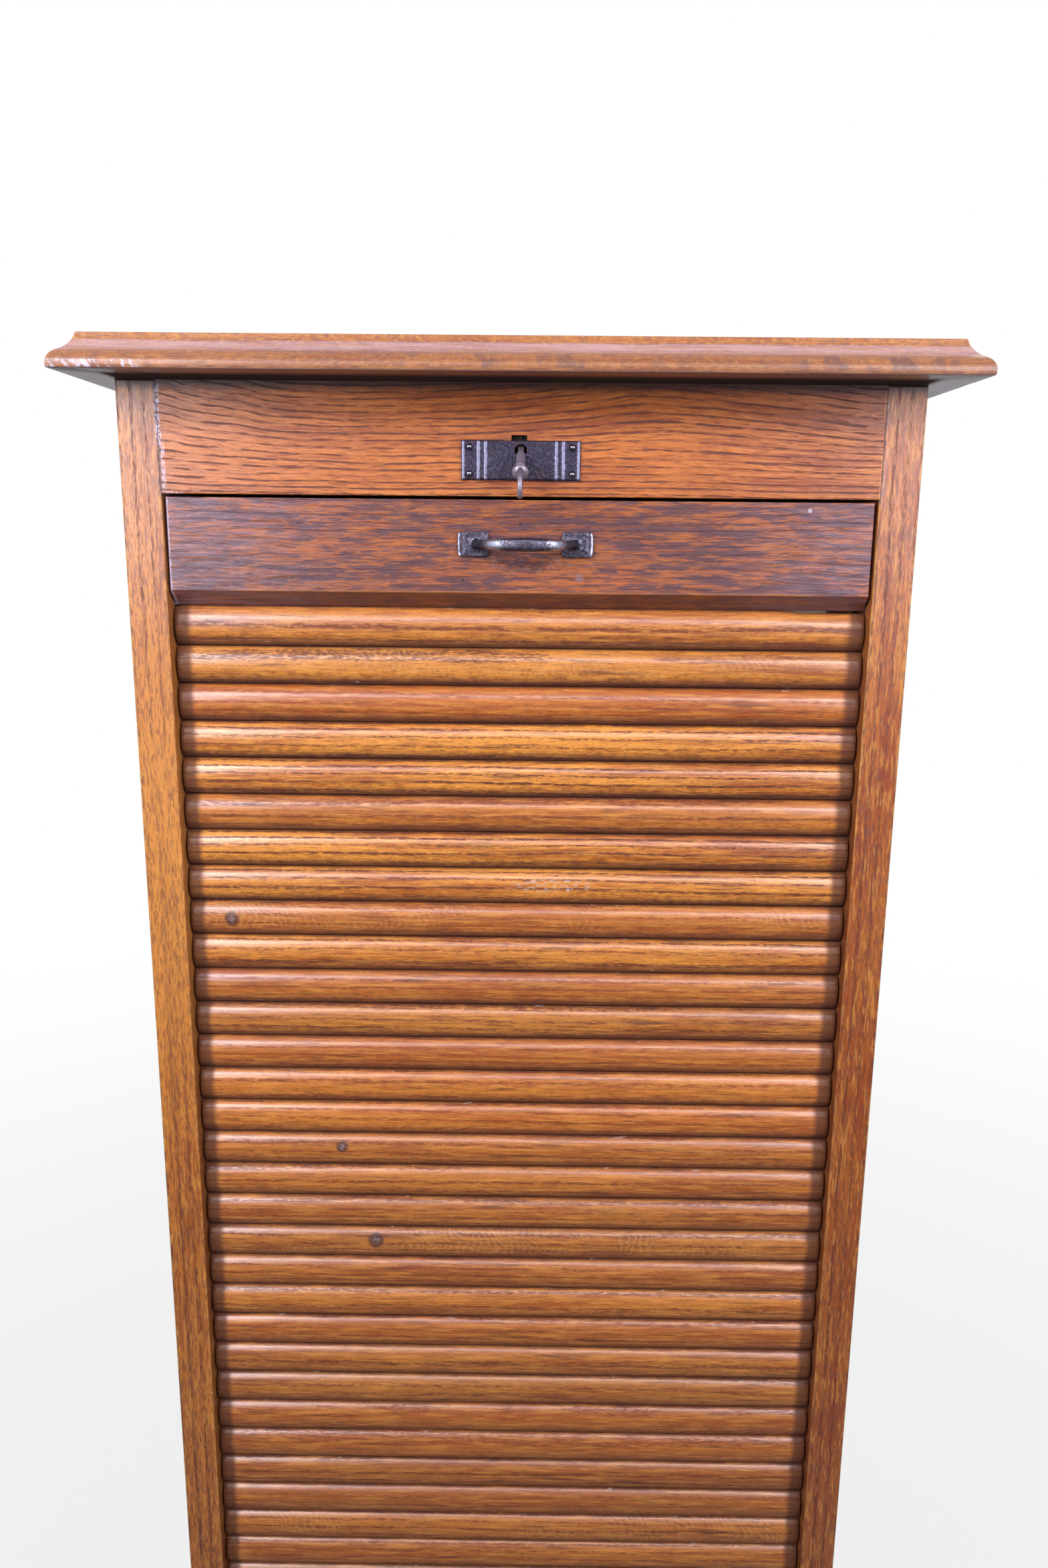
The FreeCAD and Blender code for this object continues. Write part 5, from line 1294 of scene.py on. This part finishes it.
def build_stage(look):
    """Floor, softboxes, even light and the camera."""
    scene = bpy.context.scene
    scene.view_settings.view_transform = "Standard"
    side = np.linspace(-FLOOR_HALF, FLOOR_HALF, 13)
    x, y = np.meshgrid(side, side, indexing="ij")
    mesh = bpy.data.meshes.new("studio_floor")
    mesh.from_pydata(np.stack([x, y, 0 * x - FLOOR_DROP], -1).reshape(-1, 3).tolist(), [],
                     grid_faces(13, 13)[:, ::-1].tolist())
    mesh.validate()
    mesh.materials.append(floor_material(look))
    stand("studio_floor", mesh)
    scene.world = studio_world(look)
    for name, place, aim, size, share, colour in SOFTBOXES:
        hang_softbox(name, place, aim, size, look.softbox * share, colour)
    data = bpy.data.cameras.new("camera")
    data.lens, data.sensor_width = look.lens, 36.0
    data.clip_start, data.clip_end = 0.01, 50.0
    scene.camera = stand("camera", data)
    tilt, turn, roll = look.tilt, look.turn, look.roll
    right = Vector((math.cos(turn), math.sin(turn), 0.0))
    ahead = Vector((-math.sin(turn) * math.cos(tilt), math.cos(turn) * math.cos(tilt), -math.sin(tilt)))
    down = ahead.cross(right)
    level = right * math.cos(roll) + down * math.sin(roll)
    plumb = down * math.cos(roll) - right * math.sin(roll)
    axes = Matrix((level, -plumb, -ahead)).transposed()
    scene.camera.matrix_world = Matrix.Translation(Vector(look.place)) @ axes.to_4x4()


# ---------------------------------------------------------------- add-on
class CABINET_OT_stage(bpy.types.Operator):
    """Floor, lamps, background and camera"""

    bl_idname = "cabinet.stage"
    bl_label = "Studio"

    def execute(self, context):
        build_stage(context.scene.cabinet_studio)
        return {"FINISHED"}


class CABINET_OT_top_board(bpy.types.Operator):
    """Moulded top board"""

    bl_idname = "cabinet.top_board"
    bl_label = "Top board"

    def execute(self, context):
        build_top_board(context.scene.cabinet_woodwork)
        return {"FINISHED"}


class CABINET_OT_slats(bpy.types.Operator):
    """Half-round slats of the roll front"""

    bl_idname = "cabinet.slats"
    bl_label = "Slats"

    def execute(self, context):
        build_slats(context.scene.cabinet_woodwork)
        return {"FINISHED"}


class CABINET_OT_canvas(bpy.types.Operator):
    """Canvas that joins the slats"""

    bl_idname = "cabinet.canvas"
    bl_label = "Canvas"

    def execute(self, context):
        build_canvas(context.scene.cabinet_woodwork)
        return {"FINISHED"}


class CABINET_OT_woodwork(bpy.types.Operator):
    """Finishes of the stiles, rails, panels, plinth, trays and inner boards"""

    bl_idname = "cabinet.woodwork"
    bl_label = "Woodwork finishes"

    def execute(self, context):
        dress_woodwork(context.scene.cabinet_woodwork)
        return {"FINISHED"}


class CABINET_OT_key_plate(bpy.types.Operator):
    """Hammered key plate and its pins"""

    bl_idname = "cabinet.key_plate"
    bl_label = "Key plate"

    def execute(self, context):
        build_key_plate(context.scene.cabinet_ironwork)
        build_pins()
        return {"FINISHED"}


class CABINET_OT_key(bpy.types.Operator):
    """Key that hangs in the keyhole"""

    bl_idname = "cabinet.key"
    bl_label = "Key"

    def execute(self, context):
        build_key(context.scene.cabinet_ironwork)
        return {"FINISHED"}


class CABINET_OT_handle(bpy.types.Operator):
    """Bow handle of the lead rail"""

    bl_idname = "cabinet.handle"
    bl_label = "Handle"

    def execute(self, context):
        build_handle(context.scene.cabinet_ironwork)
        return {"FINISHED"}


class CABINET_OT_ironwork(bpy.types.Operator):
    """Finishes of the lock, the keeper and the screws"""

    bl_idname = "cabinet.ironwork"
    bl_label = "Lock and screw finishes"

    def execute(self, context):
        dress_ironwork(context.scene.cabinet_ironwork)
        return {"FINISHED"}


BUILDERS = (CABINET_OT_stage, CABINET_OT_top_board, CABINET_OT_slats, CABINET_OT_canvas, CABINET_OT_woodwork,
            CABINET_OT_key_plate, CABINET_OT_key, CABINET_OT_handle, CABINET_OT_ironwork)
SETTINGS = (("cabinet_woodwork", CabinetWoodwork), ("cabinet_ironwork", CabinetIronwork),
            ("cabinet_studio", CabinetStudio))


class CABINET_PT_builder(bpy.types.Panel):
    """Lists the pieces of the cabinet and their settings"""

    bl_idname = "CABINET_PT_builder"
    bl_label = "Roll front cabinet"
    bl_space_type = "VIEW_3D"
    bl_region_type = "UI"
    bl_category = "Cabinet"

    def draw(self, context):
        for operator in BUILDERS:
            self.layout.operator(operator.bl_idname)
        for name, group in SETTINGS:
            box = self.layout.box()
            box.label(text=group.__doc__)
            for setting in group.__annotations__:
                box.prop(getattr(context.scene, name), setting)


def register():
    for group in (cls for _, cls in SETTINGS):
        bpy.utils.register_class(group)
    for cls in (*BUILDERS, CABINET_PT_builder):
        bpy.utils.register_class(cls)
    for name, group in SETTINGS:
        setattr(bpy.types.Scene, name, PointerProperty(type=group))


def unregister():
    for name, _ in SETTINGS:
        delattr(bpy.types.Scene, name)
    for cls in (CABINET_PT_builder, *reversed(BUILDERS), *(cls for _, cls in reversed(SETTINGS))):
        bpy.utils.unregister_class(cls)


def main():
    register()
    for operator in BUILDERS:
        group, name = operator.bl_idname.split(".")
        getattr(getattr(bpy.ops, group), name)()


if __name__ == "__main__":
    main()
